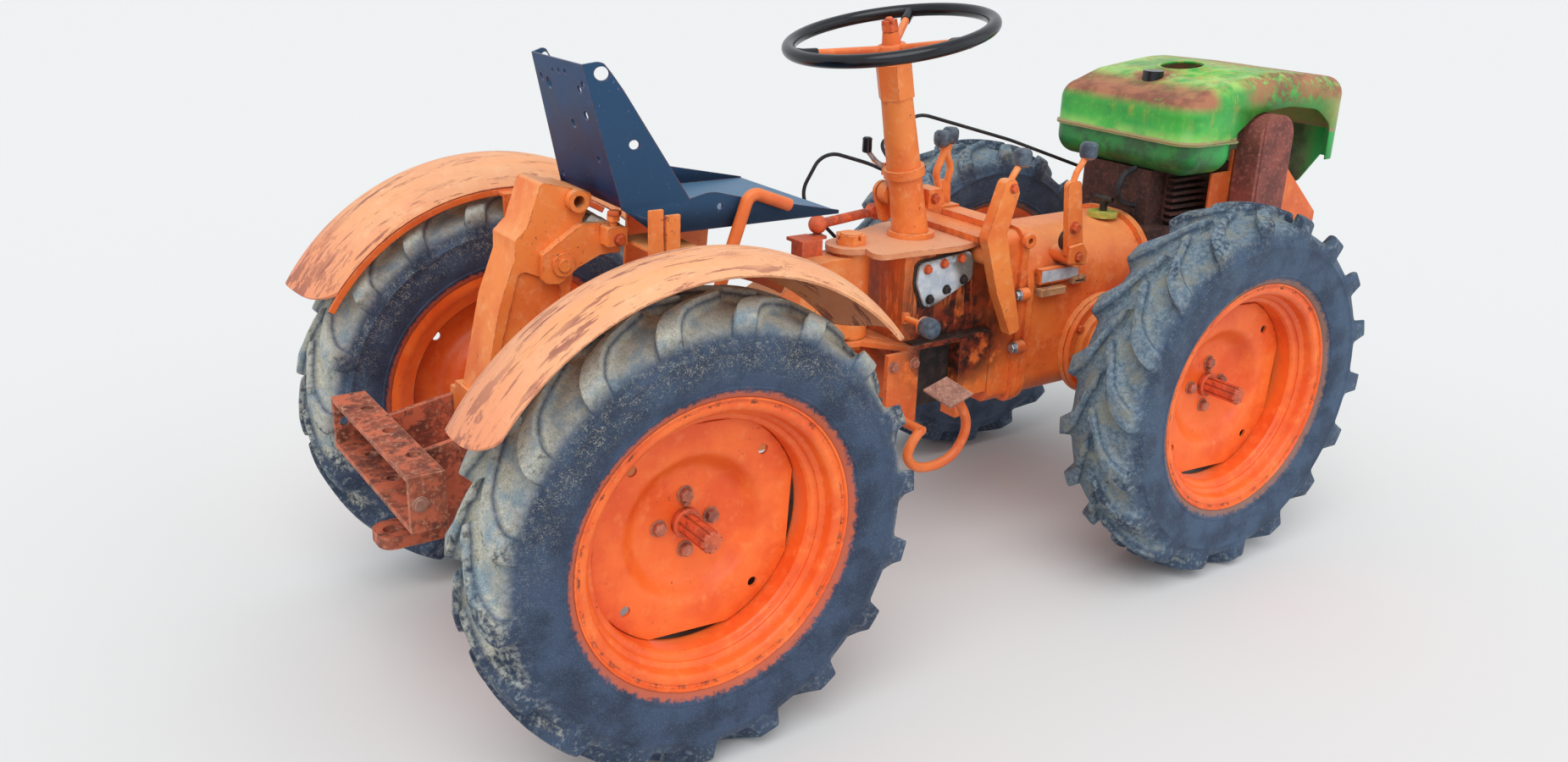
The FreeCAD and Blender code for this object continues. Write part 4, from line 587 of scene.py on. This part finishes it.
class Pile:
    """Small hard parts gathered into one mesh with one finish, riding on one body."""

    def __init__(self):
        self.mesh = bmesh.new()

    def skin(self, rings, where, caps=True, closed=False):
        """Joins rings of points, given in millimetres in the frame where."""
        rows = [[self.mesh.verts.new(where @ (Vector(p) * MM)) for p in ring] for ring in rings]
        count = len(rows[0])
        pairs = list(zip(rows, rows[1:])) + ([(rows[-1], rows[0])] if closed else [])
        for near, far in pairs:
            for i in range(count):
                self.mesh.faces.new((near[i - 1], near[i], far[i], far[i - 1]))
        if caps and not closed:
            self.mesh.faces.new(reversed(rows[0]))
            self.mesh.faces.new(rows[-1])
        return rows

    def lathe(self, profile, where, count=32, closed=False):
        self.skin(turned_points(profile, count), where, not closed, closed)

    def prism(self, outline, depth, where):
        """An outline of (u, v) points, pushed out along the frame's third axis."""
        self.skin([[(u, v, 0) for u, v in outline], [(u, v, depth) for u, v in outline]], where)

    def block(self, low, high, where=None):
        """A box between two corners given as the tractor's own millimetres."""
        (x0, y0, z0), (x1, y1, z1) = low, high
        ring = [(x0, y0), (x1, y0), (x1, y1), (x0, y1)]
        where = where or Matrix.Translation(at(0, 0, 0))
        self.skin([[(x, y, z0) for x, y in ring], [(x, y, z1) for x, y in ring]], where)

    def bolt(self, place, direction, across=17, head=8, washer=True, spin=0.0):
        """A hexagon head with chamfered corners on its washer."""
        where = facing(place, direction, spin)
        half = across / 2 / math.cos(math.radians(30))
        hexes = [(half, 0), (half, head * 0.8), (half * 0.84, head)]
        start = 0
        if washer:
            self.lathe([(half * 1.25, 0), (half * 1.25, 1.6)], where, 24)
            start = 1.6
        self.skin([[(x, y, z + start) for x, y, z in ring] for ring in turned_points(hexes, 6)], where)

    def tube(self, path, radius, count=12):
        """A round bar along points of the tractor, in millimetres, with one radius or one for each point."""
        radii = radius if isinstance(radius, (list, tuple)) else [radius] * len(path)
        spots = [Vector(p) for p in path]
        rings = []
        side = None
        for i, spot in enumerate(spots):
            along = (spots[min(i + 1, len(spots) - 1)] - spots[max(i - 1, 0)]).normalized()
            if side is None:
                side = along.orthogonal().normalized()
            side = (side - along * side.dot(along)).normalized()
            other = along.cross(side)
            ring = []
            for k in range(count):
                angle = 2 * math.pi * k / count
                ring.append(spot + (side * math.cos(angle) + other * math.sin(angle)) * radii[i])
            rings.append(ring)
        self.skin(rings, Matrix.Translation(at(0, 0, 0)))

    def piece(self, name, body, look, slot, bevel=0.8, place=None, smooth=32):
        data = bpy.data.meshes.new(name)
        bmesh.ops.recalc_face_normals(self.mesh, faces=self.mesh.faces)
        self.mesh.to_mesh(data)
        self.mesh.free()
        data.shade_smooth()
        if not bevel:
            data.set_sharp_from_angle(angle=math.radians(smooth))
        thing = add_piece(name, data, body, look, place)
        if bevel:
            round_edges(thing, bevel)
        return thing


def smooth_path(points, steps=6):
    """More points on a smooth curve through the given ones."""
    spots = [Vector(p) for p in points]
    path = []
    for i in range(len(spots) - 1):
        before, a, b, after = spots[max(i - 1, 0)], spots[i], spots[i + 1], spots[min(i + 2, len(spots) - 1)]
        for k in range(steps):
            t = k / steps
            path.append(0.5 * (2 * a + (b - before) * t + (2 * before - 5 * a + 4 * b - after) * t ** 2
                               + (3 * a - before - 3 * b + after) * t ** 3))
    path.append(spots[-1])
    return path


# Tyres

LUGS = 18
LUG_SWEEP = math.radians(19)
TYRE_RADIUS = 356
# Columns: gap floor across and radius, lug face across and radius, share of the sweep, share of the lug's width
TREAD = (
    (0, 336, 0, 355.6, 0, 0.72), (6, 336, 6, 355.6, 0.05, 0.75), (14, 335.4, 14, 355.3, 0.2, 0.8),
    (24, 334, 24, 355, 0.45, 0.85), (34, 332, 34, 354.2, 0.66, 0.9), (44, 329.5, 44, 352.6, 0.77, 0.93),
    (54, 326.5, 54.5, 350.4, 0.86, 0.96), (62, 323.5, 65, 347.4, 0.93, 1), (67.5, 320.5, 73, 344.4, 0.97, 1),
    (71, 317, 77.6, 341.6, 0.99, 1), (73, 313, 79.4, 338.4, 1, 1), (75, 308, 80.4, 330, 1.01, 0.98),
    (77, 303.4, 81.2, 319, 1.02, 0.95), (79, 300.6, 81.9, 308.6, 1.03, 0.92), (80.8, 299, 82, 301.2, 1.04, 0.88),
    (82, 297.4, 82, 297.4, 1.05, 0.88),
)
# Columns: across, radius, of the side wall from the tread's edge in to the bead
WALL = ((81.9, 294.6), (81.2, 293.4), (81.6, 284), (81.4, 274), (80.7, 262), (79, 250.5), (76.8, 242), (77.6, 240.4),
        (77.4, 238.6), (75.6, 237.4), (73.4, 231.5), (70.8, 226.4), (68.4, 223.8), (64.6, 221), (63.5, 212), (60, 205))
# Distances from a lug's middle line at which its height is set, in millimetres, and that height
LUG_FLANK = ((0, 9, 16.4, 18, 21, 26, 32, 44, 62.1), (1, 1, 1, 0.95, 0.6, 0.12, 0.03, 0, 0))


def tread_angles(pitch):
    """Angles across one step of the tread that follow the flanks of the lugs of both sides."""
    offsets = sorted({side * d for d in LUG_FLANK[0][:-1] for side in (-1, 1)} | {LUG_FLANK[0][-1]})
    arc = TYRE_RADIUS * pitch
    spots = {round((d + shift) % arc, 1) for d in offsets for shift in (0, arc / 2)}
    kept = []
    for spot in sorted(spots):
        if not kept or spot - kept[-1] > 0.5:
            kept.append(spot)
    return [spot / TYRE_RADIUS for spot in kept]


def tyre_mesh(name):
    """The whole tyre about its own centre: one skin from bead to bead, lifted into lugs, staggered left to right."""
    pitch = 2 * math.pi / LUGS
    columns = [number * pitch + angle for number in range(LUGS) for angle in tread_angles(pitch)]
    rows = []
    heights = []
    for side in (-1, 1):
        half = []
        for base_y, base_r, top_y, top_r, along, wide in TREAD:
            ring = []
            lifted = []
            for angle in columns:
                off = (angle - (pitch / 2 if side > 0 else 0) + pitch / 2) % pitch - pitch / 2
                lift = float(np.interp(abs(off) * TYRE_RADIUS / wide, *LUG_FLANK))
                across = side * (base_y + (top_y - base_y) * lift)
                radius = base_r + (top_r - base_r) * lift
                turn = angle - LUG_SWEEP * along
                ring.append((radius * math.sin(turn) * MM, across * MM, radius * math.cos(turn) * MM))
                lifted.append(lift)
            half.append((ring, lifted))
        for across, radius in WALL:
            turn = LUG_SWEEP * TREAD[-1][4]
            ring = [(radius * math.sin(a - turn) * MM, side * across * MM, radius * math.cos(a - turn) * MM) for a in columns]
            half.append((ring, [0.0] * len(columns)))
        half = half[::-1] if side < 0 else half
        rows += [ring for ring, lifted in half]
        heights += [lifted for ring, lifted in half]
    count = len(columns)
    points = [p for ring in rows for p in ring]
    faces = []
    for row in range(len(rows) - 1):
        for i in range(count):
            on = (i + 1) % count
            faces.append((row * count + i, (row + 1) * count + i, (row + 1) * count + on, row * count + on))
    data = bpy.data.meshes.new(name)
    data.from_pydata(points, [], faces)
    lug = data.attributes.new("lug", "FLOAT", "POINT")
    lug.data.foreach_set("value", [h for lifted in heights for h in lifted])
    data.validate()
    data.shade_smooth()
    data.set_sharp_from_angle(angle=math.radians(38))
    return data


# Wheels

RIM_HALF = 69
DISC_FACE = -30
DISC_FLAT = 165
DISC_TURN = -3.5
# The disc from its bore out to the edge: radius and rise from its middle face
DISH = ((22, 0), (60, 0), (78, 0.3), (86, 1.6), (93, 5.4), (100, 12), (106, 19), (112, 25.6), (118, 29), (125, 30), (148, 30))
# Columns: outwards from the wheel's middle plane, radius. The open side, from the lip in to the far lip, and back
RIM_OPEN = ((68.4, 223), (69, 222.2), (69, 219.8), (67.6, 218.6), (64.4, 218), (63.4, 216.8), (64.4, 215.4), (65.2, 212),
            (64.4, 206), (61.6, 201.4), (58, 199.4), (50, 198.6), (46, 197), (42.6, 191.6), (40.4, 189.8), (37.6, 189.8),
            (34.6, 187.6), (32, 180.6), (28, 178), (-20, 178), (-52, 178), (-58, 190), (-62, 199), (-66, 204),
            (-68.6, 214), (-69, 223))
RIM_BACK = ((-65.4, 223), (-64.8, 206), (-60, 203), (-56, 192), (-50, 182), (26, 182), (32, 190), (40, 203), (60, 203.4),
            (64, 212), (66, 222.8))


def wheel_frame(side):
    """About the wheel's centre: the third axis points out of the tractor and the first one forward."""
    return Matrix(((1, 0, 0), (0, 0, side), (0, -side, 0))).to_4x4()


def disc_part(side):
    """The pressed disc, dished in its middle, with four flats, made as a grid round the bore."""
    flat = math.degrees(math.acos(DISC_FLAT / 178.2))
    between = [flat * share for share in (-1, -0.7, -0.35, 0, 0.35, 0.7, 1)] + [28, 34, 40, 45, 50, 56, 62]
    marks = sorted({quarter * 90 + angle for quarter in range(4) for angle in between})
    front = []
    for share, rise in DISH + ((None, 30), (None, 27)):
        ring = []
        for mark in marks:
            angle = math.radians(mark)
            edge = min(178.2, DISC_FLAT / max(abs(math.cos(angle)), abs(math.sin(angle))))
            radius = min(share, edge - 4) if share else edge - (2 if rise == 30 else 0)
            ring.append((radius * math.cos(angle), radius * math.sin(angle), DISC_FACE + rise))
        front.append(ring)
    back = [[(x * 1.002, y * 1.002, z - 5) for x, y, z in ring] for ring in front[:-1]]
    pile = Pile()
    turned = wheel_frame(side) @ Matrix.Rotation(math.radians(DISC_TURN), 4, "Z")
    pile.skin(front + back[::-1], turned, caps=False, closed=True)
    return pile


def cutter(side):
    """The four holes of the disc, as rods."""
    pile = Pile()
    for quarter in range(4):
        angle = math.radians(45 + 90 * quarter + DISC_TURN)
        where = wheel_frame(side) @ Matrix.Translation(Vector((152 * math.cos(angle), 152 * math.sin(angle), -20)) * MM)
        pile.lathe([(8, 0), (8, 40)], where, 20)
    return pile


def apply_holes(thing, tool):
    """Cuts the tool out of the thing and removes it."""
    holes = thing.modifiers.new("Holes", "BOOLEAN")
    holes.operation = "DIFFERENCE"
    holes.solver = "EXACT"
    holes.object = tool
    bpy.context.view_layer.update()
    cut = bpy.data.meshes.new_from_object(thing.evaluated_get(bpy.context.evaluated_depsgraph_get()))
    thing.modifiers.clear()
    thing.data = cut
    bpy.data.objects.remove(tool)


def rim_mesh(side):
    """The rolled rim and its disc, about the wheel's centre."""
    disc = bpy.data.objects.new("disc", bpy.data.meshes.new("disc"))
    tool = bpy.data.objects.new("tool", bpy.data.meshes.new("tool"))
    for thing, pile in ((disc, disc_part(side)), (tool, cutter(side))):
        bmesh.ops.recalc_face_normals(pile.mesh, faces=pile.mesh.faces)
        pile.mesh.to_mesh(thing.data)
        bpy.context.scene.collection.objects.link(thing)
    apply_holes(disc, tool)
    pile = Pile()
    pile.lathe([(radius, out) for out, radius in RIM_OPEN + RIM_BACK], wheel_frame(side), 112, closed=True)
    pile.mesh.from_mesh(disc.data)
    bpy.data.objects.remove(disc)
    return pile


def hub_part(side):
    """The splined shaft end, its collar, the flange behind the disc and the shaft inside the axle tube."""
    where = wheel_frame(side)
    pile = Pile()
    pile.lathe([(24, -171), (24, -59), (61, -59), (61.5, -57), (61.5, -38), (60, -36), (23, -36), (23, -20.5), (21.5, -19),
                (16.5, -19)], where, 48)
    outline = []
    teeth = 8
    for tooth in range(teeth):
        middle = 2 * math.pi * tooth / teeth
        for turn, radius in ((-0.285, 14.8), (-0.27, 17.1), (-0.14, 17.5), (0.0, 17.5), (0.14, 17.5), (0.27, 17.1),
                             (0.285, 14.8)):
            outline.append((middle + turn, radius))
    rings = []
    for height, shrink in ((-20, 0), (48, 0), (50.6, 2.2)):
        rings.append([((r - shrink) * math.cos(a), (r - shrink) * math.sin(a), height) for a, r in outline])
    rings.append([(11 * math.cos(a), 11 * math.sin(a), 50.8) for a, r in outline])
    rings.append([(4 * math.cos(a), 4 * math.sin(a), 48.6) for a, r in outline])
    pile.skin(rings, where)
    return pile


def hub_bolts(side):
    """The four wheel bolts and the small stud over them."""
    where = wheel_frame(side)
    pile = Pile()
    for quarter in range(4):
        angle = math.radians(90 * quarter)
        place = where @ (Vector((44 * math.cos(angle), 44 * math.sin(angle), DISC_FACE)) * MM)
        pile.bolt(place, where.col[2].to_3d(), 18.5, 9.5, True, 12 + 25 * quarter)
    place = where @ (Vector((0, 30, DISC_FACE)) * MM)
    pile.lathe([(4.5, 0), (4.5, 6), (3, 8)], facing(place, where.col[2].to_3d()), 12)
    return pile


def add_wheels():
    """Four like wheels, each tyre turned to its own angle."""
    turns = {"rear_right": 4, "rear_left": 9, "front_right": 13, "front_left": 2}
    skins = {"rear": tyre_mesh("rear_tyre_skin"), "front": tyre_mesh("front_tyre_skin")}
    for corner, turn in turns.items():
        end, hand = corner.split("_")
        side = -1 if hand == "right" else 1
        low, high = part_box("rim_" + corner)
        centre = (low + high) / 2
        body = "wheel_" + corner
        skin = skins[end].copy()
        skin.transform(Matrix.Rotation(math.radians(turn), 4, "Y"))
        tyre = bpy.data.objects.new("lugged_tyre_" + corner, skin)
        bpy.context.scene.collection.objects.link(tyre)
        tyre.matrix_world = Matrix.Translation(centre)
        skin.materials.append(looks["tyre_" + end])
        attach(tyre, body)
        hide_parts("tyre_" + corner)
        rim = rim_mesh(side).piece("pressed_rim_" + corner, body, "wheel", "orange_wheel_paint", 0, centre)
        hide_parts("rim_" + corner)
        # A dark band inside the rim's well, behind the disc's edge: painted shade.
        shade = Pile()
        shade.lathe([(177.6, -9), (177.6, -50), (176.6, -50), (176.6, -9)], wheel_frame(side), 64, closed=True)
        shade.piece("rim_shade_band_" + corner, body, "dark", "black_rubber", 0, centre)
        hub = hub_part(side).piece("splined_shaft_" + corner, body, "stub", "orange_wheel_paint", 0, centre)
        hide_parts("hub_" + corner)
        hub_bolts(side).piece("wheel_bolts_" + corner, body, "bolt", "orange_wheel_paint", 0.6, centre)


# Steering wheel

COLUMN_LEAN = math.radians(11.5)
COLUMN_FOOT = (672, 0, 276)
WHEEL_UP = 371
GRIP_RING = 178
SPOKE_TURNS = (40, 160, 280)
HUB_DROP = -24


def column_frame(along=0.0):
    """On the steering column's axis, that far up from its foot."""
    up = Vector((-math.sin(COLUMN_LEAN), 0, math.cos(COLUMN_LEAN)))
    first = Vector((math.cos(COLUMN_LEAN), 0, math.sin(COLUMN_LEAN)))
    made = Matrix((first, Vector((0, 1, 0)), up)).transposed().to_4x4()
    made.translation = at(*COLUMN_FOOT) + up * along * MM
    return made


def add_steering_wheel():
    where = column_frame(WHEEL_UP)
    ring = Pile()
    grip = []
    for k in range(20):
        angle = 2 * math.pi * k / 20
        grip.append((GRIP_RING + 12.2 * math.cos(angle), 11.4 * math.sin(angle)))
    ring.lathe(grip, where, 120, closed=True)
    wheel = ring.piece("wheel_grip", "steering_wheel", "black", "black_plastic", 0)
    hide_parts("steering_wheel")
    spokes = Pile()
    sleeves = Pile()
    for turn in SPOKE_TURNS:
        arm = where @ Matrix.Rotation(math.radians(turn), 4, "Z")
        start = arm @ (Vector((18, 0, HUB_DROP)) * MM)
        rise = math.atan2(-HUB_DROP - 3, 154)
        arm = facing(start, arm.to_3x3() @ Vector((math.cos(rise), 0, math.sin(rise))))
        spokes.lathe([(8.2, 0), (7, 12), (7, 130)], arm, 20)
        sleeves.lathe([(8.4, 116), (9.2, 119), (9.4, 142), (11, 152), (11.4, 156)], arm, 24)
    spokes.lathe([(26, -62), (26.5, -58), (26.5, -22), (24, -18), (17, -16), (14, 4), (6, 6)], where, 40)
    spokes.lathe([(11, -247), (11, -60)], where, 28)
    spokes.piece("wheel_spokes", "steering_wheel", "sheet", "orange_cast_paint", 0)
    sleeves.piece("spoke_sleeves", "steering_wheel", "black", "black_plastic", 0)
    nut = Pile()
    nut.skin(turned_points([(15.5, 5), (15.5, 18)], 6), where)
    for k in range(6):
        slot = where @ Matrix.Rotation(math.radians(60 * k + 30), 4, "Z")
        nut.block((-3.4 + 10, -3.4, 17), (3.4 + 10, 3.4, 24), slot)
    nut.lathe([(6.5, 19), (6.5, 27), (5, 29)], where, 16)
    nut.piece("castle_nut", "steering_wheel", "orange_bolt", "orange_cast_paint", 0.6)


# Parts added on the solids

def side_on(y, side=-1):
    """A frame on the plane y: its third axis points out of the tractor's side, so (x, z) outlines can be drawn on it."""
    if side < 0:
        return facing(at(0, y, 0), (0, -1, 0))
    return Matrix.Translation(at(0, y, 0)) @ Matrix(((1, 0, 0), (0, 0, 1), (0, 1, 0))).to_4x4()


def grown(outline, by):
    """The outline moved outwards from its middle."""
    middle = sum((Vector(p) for p in outline), Vector((0, 0))) / len(outline)
    return [tuple(Vector(p) + (Vector(p) - middle).normalized() * by) for p in outline]


COVER = ((616, 214), (618, 206), (634, 170), (640, 166), (654, 165), (740, 202), (746, 210), (747, 240), (740, 256),
         (732, 260), (626, 250), (618, 243))
COVER_BOLTS = ((636, 238), (674, 244), (714, 249))
COVER_BOLTS_LOW = ((645, 181), (684, 194), (724, 208))


def add_cover():
    """The six-cornered cover with its gasket and bolts."""
    gasket = Pile()
    gasket.prism(grown(COVER, 5), 3, side_on(-86.4))
    for x, z in COVER_BOLTS_LOW:
        gasket.bolt(at(x, -96.6, z), (0, -1, 0), 13, 6, True, 10)
    gasket.piece("cover_gasket", FRONT, "dark", "orange_cast_paint")
    plate = Pile()
    plate.prism(COVER, 7.6, side_on(-89))
    cover = plate.piece("side_cover_plate", FRONT, "cover", "bare_aluminium", 2)
    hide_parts("inspection_cover")
    bolts = Pile()
    for x, z in COVER_BOLTS:
        bolts.bolt(at(x, -96.6, z), (0, -1, 0), 13, 6, True, 20)
    bolts.piece("cover_bolts", FRONT, "orange_bolt", "orange_cast_paint", 0.5)


def add_case_trim():
    """Dirt on the shelf, a dark block in the recess under it as painted shade, and the bolts of the plates beside it.
    """
    dirt_and_shade = Pile()
    dirt_and_shade.block((600, -111, 103), (787, -87, 105.5))
    # A dark block in the recess under the shelf: painted shade.
    dirt_and_shade.block((619, -84, -31), (715, -80.2, 88))
    dirt_and_shade.piece("oily_dirt_and_recess_shade", FRONT, "dark", "black_rubber", 1)
    bolts = Pile()
    for x, z in ((558, 70), (606, 70), (560, -28)):
        bolts.bolt(at(x, -112, z), (0, -1, 0), 15, 7, True, 15)
    bolts.piece("plate_bolts", FRONT, "bolt", "orange_cast_paint", 0.6)
    ears = Pile()
    for z in (169, 65):
        for side in (-1, 1):
            ears.lathe([(11, 0), (13, 2), (13, 20)], facing(at(839, side * 128, z), (1, 0, 0)), 28)
    for side in (-1, 1):
        ears.lathe([(5.5, 0), (14, 0), (14, 11), (5.5, 11)], facing(at(852, side * 122, 272), (0, side, 0)), 32, True)
    ears.piece("flange_ears", FRONT, "case", "orange_cast_paint", 1.5)
    silver = Pile()
    for z in (169, 65):
        for side in (-1, 1):
            silver.bolt(at(839, side * 128, z), (-1, 0, 0), 16, 8, True, 10)
    silver.piece("flange_bolts", FRONT, "steel", "plated_steel", 0.6)


def add_bell_trim():
    """The blank plate on its bracket, the bar and clip under it, and the round covers' rims and bolts."""
    pad = Pile()
    pad.block((886, -133, 183), (988, -118, 213))
    for side in (-1, 1):
        where = facing(at(1070, side * 144, 37), (0, side, 0))
        pad.lathe([(96, 0), (97, 3), (99, 4.6), (103.4, 4.6), (105.4, 2.6), (105.6, -6)], where, 72)
    pad.piece("bell_rims", FRONT, "case", "orange_cast_paint", 1.5)
    label = Pile()
    label.prism([(889, 187), (985, 187), (985, 210), (889, 210)], 1.4, side_on(-133))
    label.piece("blank_plate", FRONT, "label", "bare_aluminium", 0.4)
    bar = Pile()
    bar.block((880, -146, 163), (944, -129, 176))
    bar.block((880, -147, 174), (944, -129, 177.5))
    bar.block((966, -142, 177), (1002, -126, 190))
    bar.piece("bar_and_clip", FRONT, "tan", "rusty_plate", 1.2)
    # Dark pieces in a slot of the clip and in a round opening of the bell: painted shade.
    slots = Pile()
    slots.block((972, -142.6, 181), (995, -141, 184.4))
    slots.lathe([(22, 0), (22, 9)], facing(at(949, -128, 264), (0, -1, 0)), 24)
    slots.piece("gap_shade", FRONT, "dark", "black_rubber", 1)
    bolts = Pile()
    for side in (-1, 1):
        for turn in range(13, 360, 45):
            angle = math.radians(turn)
            x, z = 1070 + 90 * math.cos(angle), 37 + 90 * math.sin(angle)
            bolts.bolt(at(x, side * 144, z), (0, side, 0), 13, 8, True, turn)
    bolts.bolt(at(944, -150, 292), (0, -1, 0), 17, 9, True, 10)
    bolts.bolt(at(953, -158, 236), (0, -1, 0), 15, 7, True, 25)
    bolts.bolt(at(776, -152, 382), (0, -1, 0), 13, 6, True, 5)
    bolts.bolt(at(706, -22, 345), (0, -1, 0), 14, 7, True, 5)
    bolts.piece("bell_bolts", FRONT, "orange_bolt", "orange_cast_paint", 0.5)
    clamp = Pile()
    clamp.prism([(932, 224), (976, 218), (978, 244), (964, 262), (930, 258)], 9, side_on(-150.5))
    clamp.piece("lever_clamp", FRONT, "cast", "orange_cast_paint", 2.5)


KNOB = ((7, -3), (12, 0), (15.8, 4), (17.2, 12), (17.2, 21), (16.2, 26), (12, 30.4), (4, 31.6))


def add_knobs():
    """The dark knobs over the lever ends."""
    knobs = Pile()
    for x, y, z, share, lean in ((802, -141, 418.5, 1, (-0.03, 0, 1)), (966, -144, 418.5, 1, (0.03, 0, 1)),
                                 (800, 76, 418.5, 0.95, (0, 0, 1)), (842, 100, 418.5, 0.95, (0, 0, 1)),
                                 (599, -137.5, 150, 1.08, (0, -1, 0))):
        knobs.lathe([(r * share, h * share) for r, h in KNOB], facing(at(x, y, z), lean), 28)
    knobs.piece("lever_knobs", FRONT, "knob", "black_plastic", 0)
    grip = Pile()
    grip.lathe([(6, 0), (8.6, 1.5), (9, 8), (8.6, 22), (9.2, 26), (6, 28.5)], facing(at(604, 56.5, 424.5), (0, 0, 1)), 20)
    grip.piece("throttle_grip", FRONT, "black", "black_plastic", 0)
    rod = Pile()
    rod.tube(smooth_path([(634, 41, 398), (620, 51, 410), (607, 56, 426)]), 4.8)
    rod.piece("throttle_rod", FRONT, "steel", "plated_steel", 0)
    screw = Pile()
    screw.lathe([(7.8, 0), (7.8, 27)], facing(at(1150, -32, 278.6), (0, 0, 1)), 20)
    screw.tube([(1150, -53, 304), (1150, -11, 304)], 6.8, 16)
    screw.piece("filler_screw", FRONT, "dark", "greasy_brass", 1)


def add_hoses():
    """The fuel hose near tank, bell and engine, and the seam along the muffler."""
    hose = Pile()
    hose.tube(smooth_path([(1200, -60, 366), (1168, -60, 354), (1156, -60, 324), (1168, -60, 300), (1206, -62, 290)]), 6)
    hose.piece("fuel_hose", FRONT, "rubber", "black_rubber", 0)
    seam = Pile()
    seam.block((1394, -210.5, 232), (1399, -207, 468))
    seam.piece("muffler_seam", FRONT, "muffler", "rusty_muffler", 1.5)


def add_guard_wings():
    """The guards' front corners, which run down behind the hood, and the strips between engine and muffler."""
    wings = Pile()
    for side in (-1, 1):
        where = side_on(side * 146.5, side)
        outline = [(1490, 374), (1546, 372), (1692, 246), (1692, 205), (1596, 205), (1490, 300)]
        strip = [(1322, 212), (1384, 212), (1384, 361), (1322, 361)]
        for shape in (outline, strip):
            wings.prism(shape if side < 0 else shape[::-1], 5, where)
    wings.piece("guard_wings", FRONT, "sheet", "orange_sheet_paint", 0.8)


PEDAL_TUBE = ((556, -200, -20), (538, -200, -40), (530, -200, -66), (552, -200, -90), (597, -200, -96), (637, -200, -83),
              (660, -200, -52), (662, -200, -22), (646, -200, 10), (616, -202, 36))
TREAD_LONG, TREAD_WIDE = (39, -22, -4), (20, 30, 15)


def add_pedal():
    """The bent tube pedal and its diamond tread, tilted to the driver, with raised lozenges on it."""
    tube = Pile()
    tube.tube(smooth_path(PEDAL_TUBE), 9, 20)
    tube.lathe([(9, 0), (9, 92)], facing(at(556, -205, -20), (0, 1, 0)), 20)
    bent = tube.piece("bent_pedal", FRONT, "sheet", "orange_sheet_paint", 0)
    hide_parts("foot_pedal")
    along, across = Vector(TREAD_LONG), Vector(TREAD_WIDE)
    out = along.cross(across).normalized()
    middle = Vector((611, -203, 41))
    where = Matrix.Translation(at(0, 0, 0))
    tread = Pile()
    corners = [middle + along, middle + across, middle - along, middle - across]
    tread.skin([corners, [c + out * 4 for c in corners]], where)
    steps = 6
    for i in range(steps):
        for k in range(steps):
            u, v = (i + 0.5) / steps * 2 - 1, (k + 0.5) / steps * 2 - 1
            spot = middle + (along * (u + v) + across * (v - u)) / 2 * 0.96 + out * 4
            side = (along if (i + k) % 2 else across).normalized()
            wide = out.cross(side)
            foot = [spot + side * 4.4, spot + wide * 1.5, spot - side * 4.4, spot - wide * 1.5]
            head = [spot + (p - spot) * 0.6 + out * 1.6 for p in foot]
            tread.skin([foot, head], where)
    tread.piece("pedal_tread", FRONT, "tread", "rusty_plate", 0)


def add_rear_trim():
    """Bolts on the lift column and hitch, and a dark disc as painted shade in the open end of the hand lever's tube."""
    bolts = Pile()
    bolts.bolt(at(23, -78, 398.5), (0, 0, 1), 19, 7, False, 10)
    bolts.bolt(at(26, -88, 362), (0, -1, 0), 14, 7, True, 10)
    for x, z in ((-160, 160), (-120, 160)):
        bolts.bolt(at(x, -62, z), (0, -1, 0), 16, 8, True, 15)
    bolts.piece("column_bolts", REAR, "orange_bolt", "orange_cast_paint", 0.6)
    end = Vector((0.935, 0, -0.354))
    # A dark disc just inside the tube's open end: painted shade in the bore.
    bore = Pile()
    bore.lathe([(7, 0), (7, 1)], facing(at(286, -160, 404) + end * 0.4 * MM, end), 24)
    bore.piece("open_tube_end", REAR, "dark", "black_rubber", 0)
    pale = Pile()
    pale.bolt(at(-336, -180, 47), (0, -1, 0), 17, 3, True, 20)
    pale.piece("hitch_bolt", REAR, "tread", "rusty_plate", 0.5)


# Solids that keep their own shape

CARRIED = {
    "cast": ("rear_axle_housing", "rear_frame", "seat_bracket", "lift_column", "lift_bracket",
             "kingpin", "front_axle_housings", "steering_column", "drop_arm_shaft", "drop_arm",
             "side_lever", "clutch_lever", "twin_levers", "short_lever", "throttle_lever"),
    "case": ("gearbox", "lower_frame", "bell_housing"),
    "plate": ("top_plate",),
    "stub": ("steering_link", "steering_ball_arm"),
    "sheet": ("hand_lever", "side_guards", "fender_stays"),
    "faded": ("fender_right", "fender_left"),
    "green": ("hood_cowl", "fuel_tank"),
    "hitch": ("hitch_block", "hitch_bracket"),
    "engine": ("engine_block", "cooling_fins"),
    "muffler": ("muffler",),
    "seat": ("seat_pan",),
    "brass": ("oil_cap",),
    "black": ("fuel_cap",),
    "rubber": ("control_cables",),
}
FINE_EDGES = {"fender_right": 1.0, "fender_left": 1.0, "hood_cowl": 0, "fuel_tank": 0.8, "seat_pan": 0.8,
              "control_cables": 0, "foot_pedal": 0.8, "steering_link": 0.6, "throttle_lever": 0.5}


def add_floor():
    """A plain pale floor under the tractor."""
    size = 60
    data = bpy.data.meshes.new("floor")
    data.from_pydata([(-size, -size, 0), (size, -size, 0), (size, size, 0), (-size, size, 0)], [], [(0, 1, 2, 3)])
    f = Finish("pale_floor")
    f.shader.inputs["Specular IOR Level"].default_value = 0.1
    data.materials.append(f.done(tint(230, 230, 228), 0.9))
    floor = bpy.data.objects.new("floor", data)
    bpy.context.scene.collection.objects.link(floor)


add_camera()
add_light()
add_floor()
for look, names in CARRIED.items():
    for name in names:
        dress(name, look, FINE_EDGES.get(name, 1.2))
add_wheels()
add_steering_wheel()
for add in (add_cover, add_case_trim, add_bell_trim, add_knobs, add_hoses, add_guard_wings, add_pedal,
            add_rear_trim):
    add()
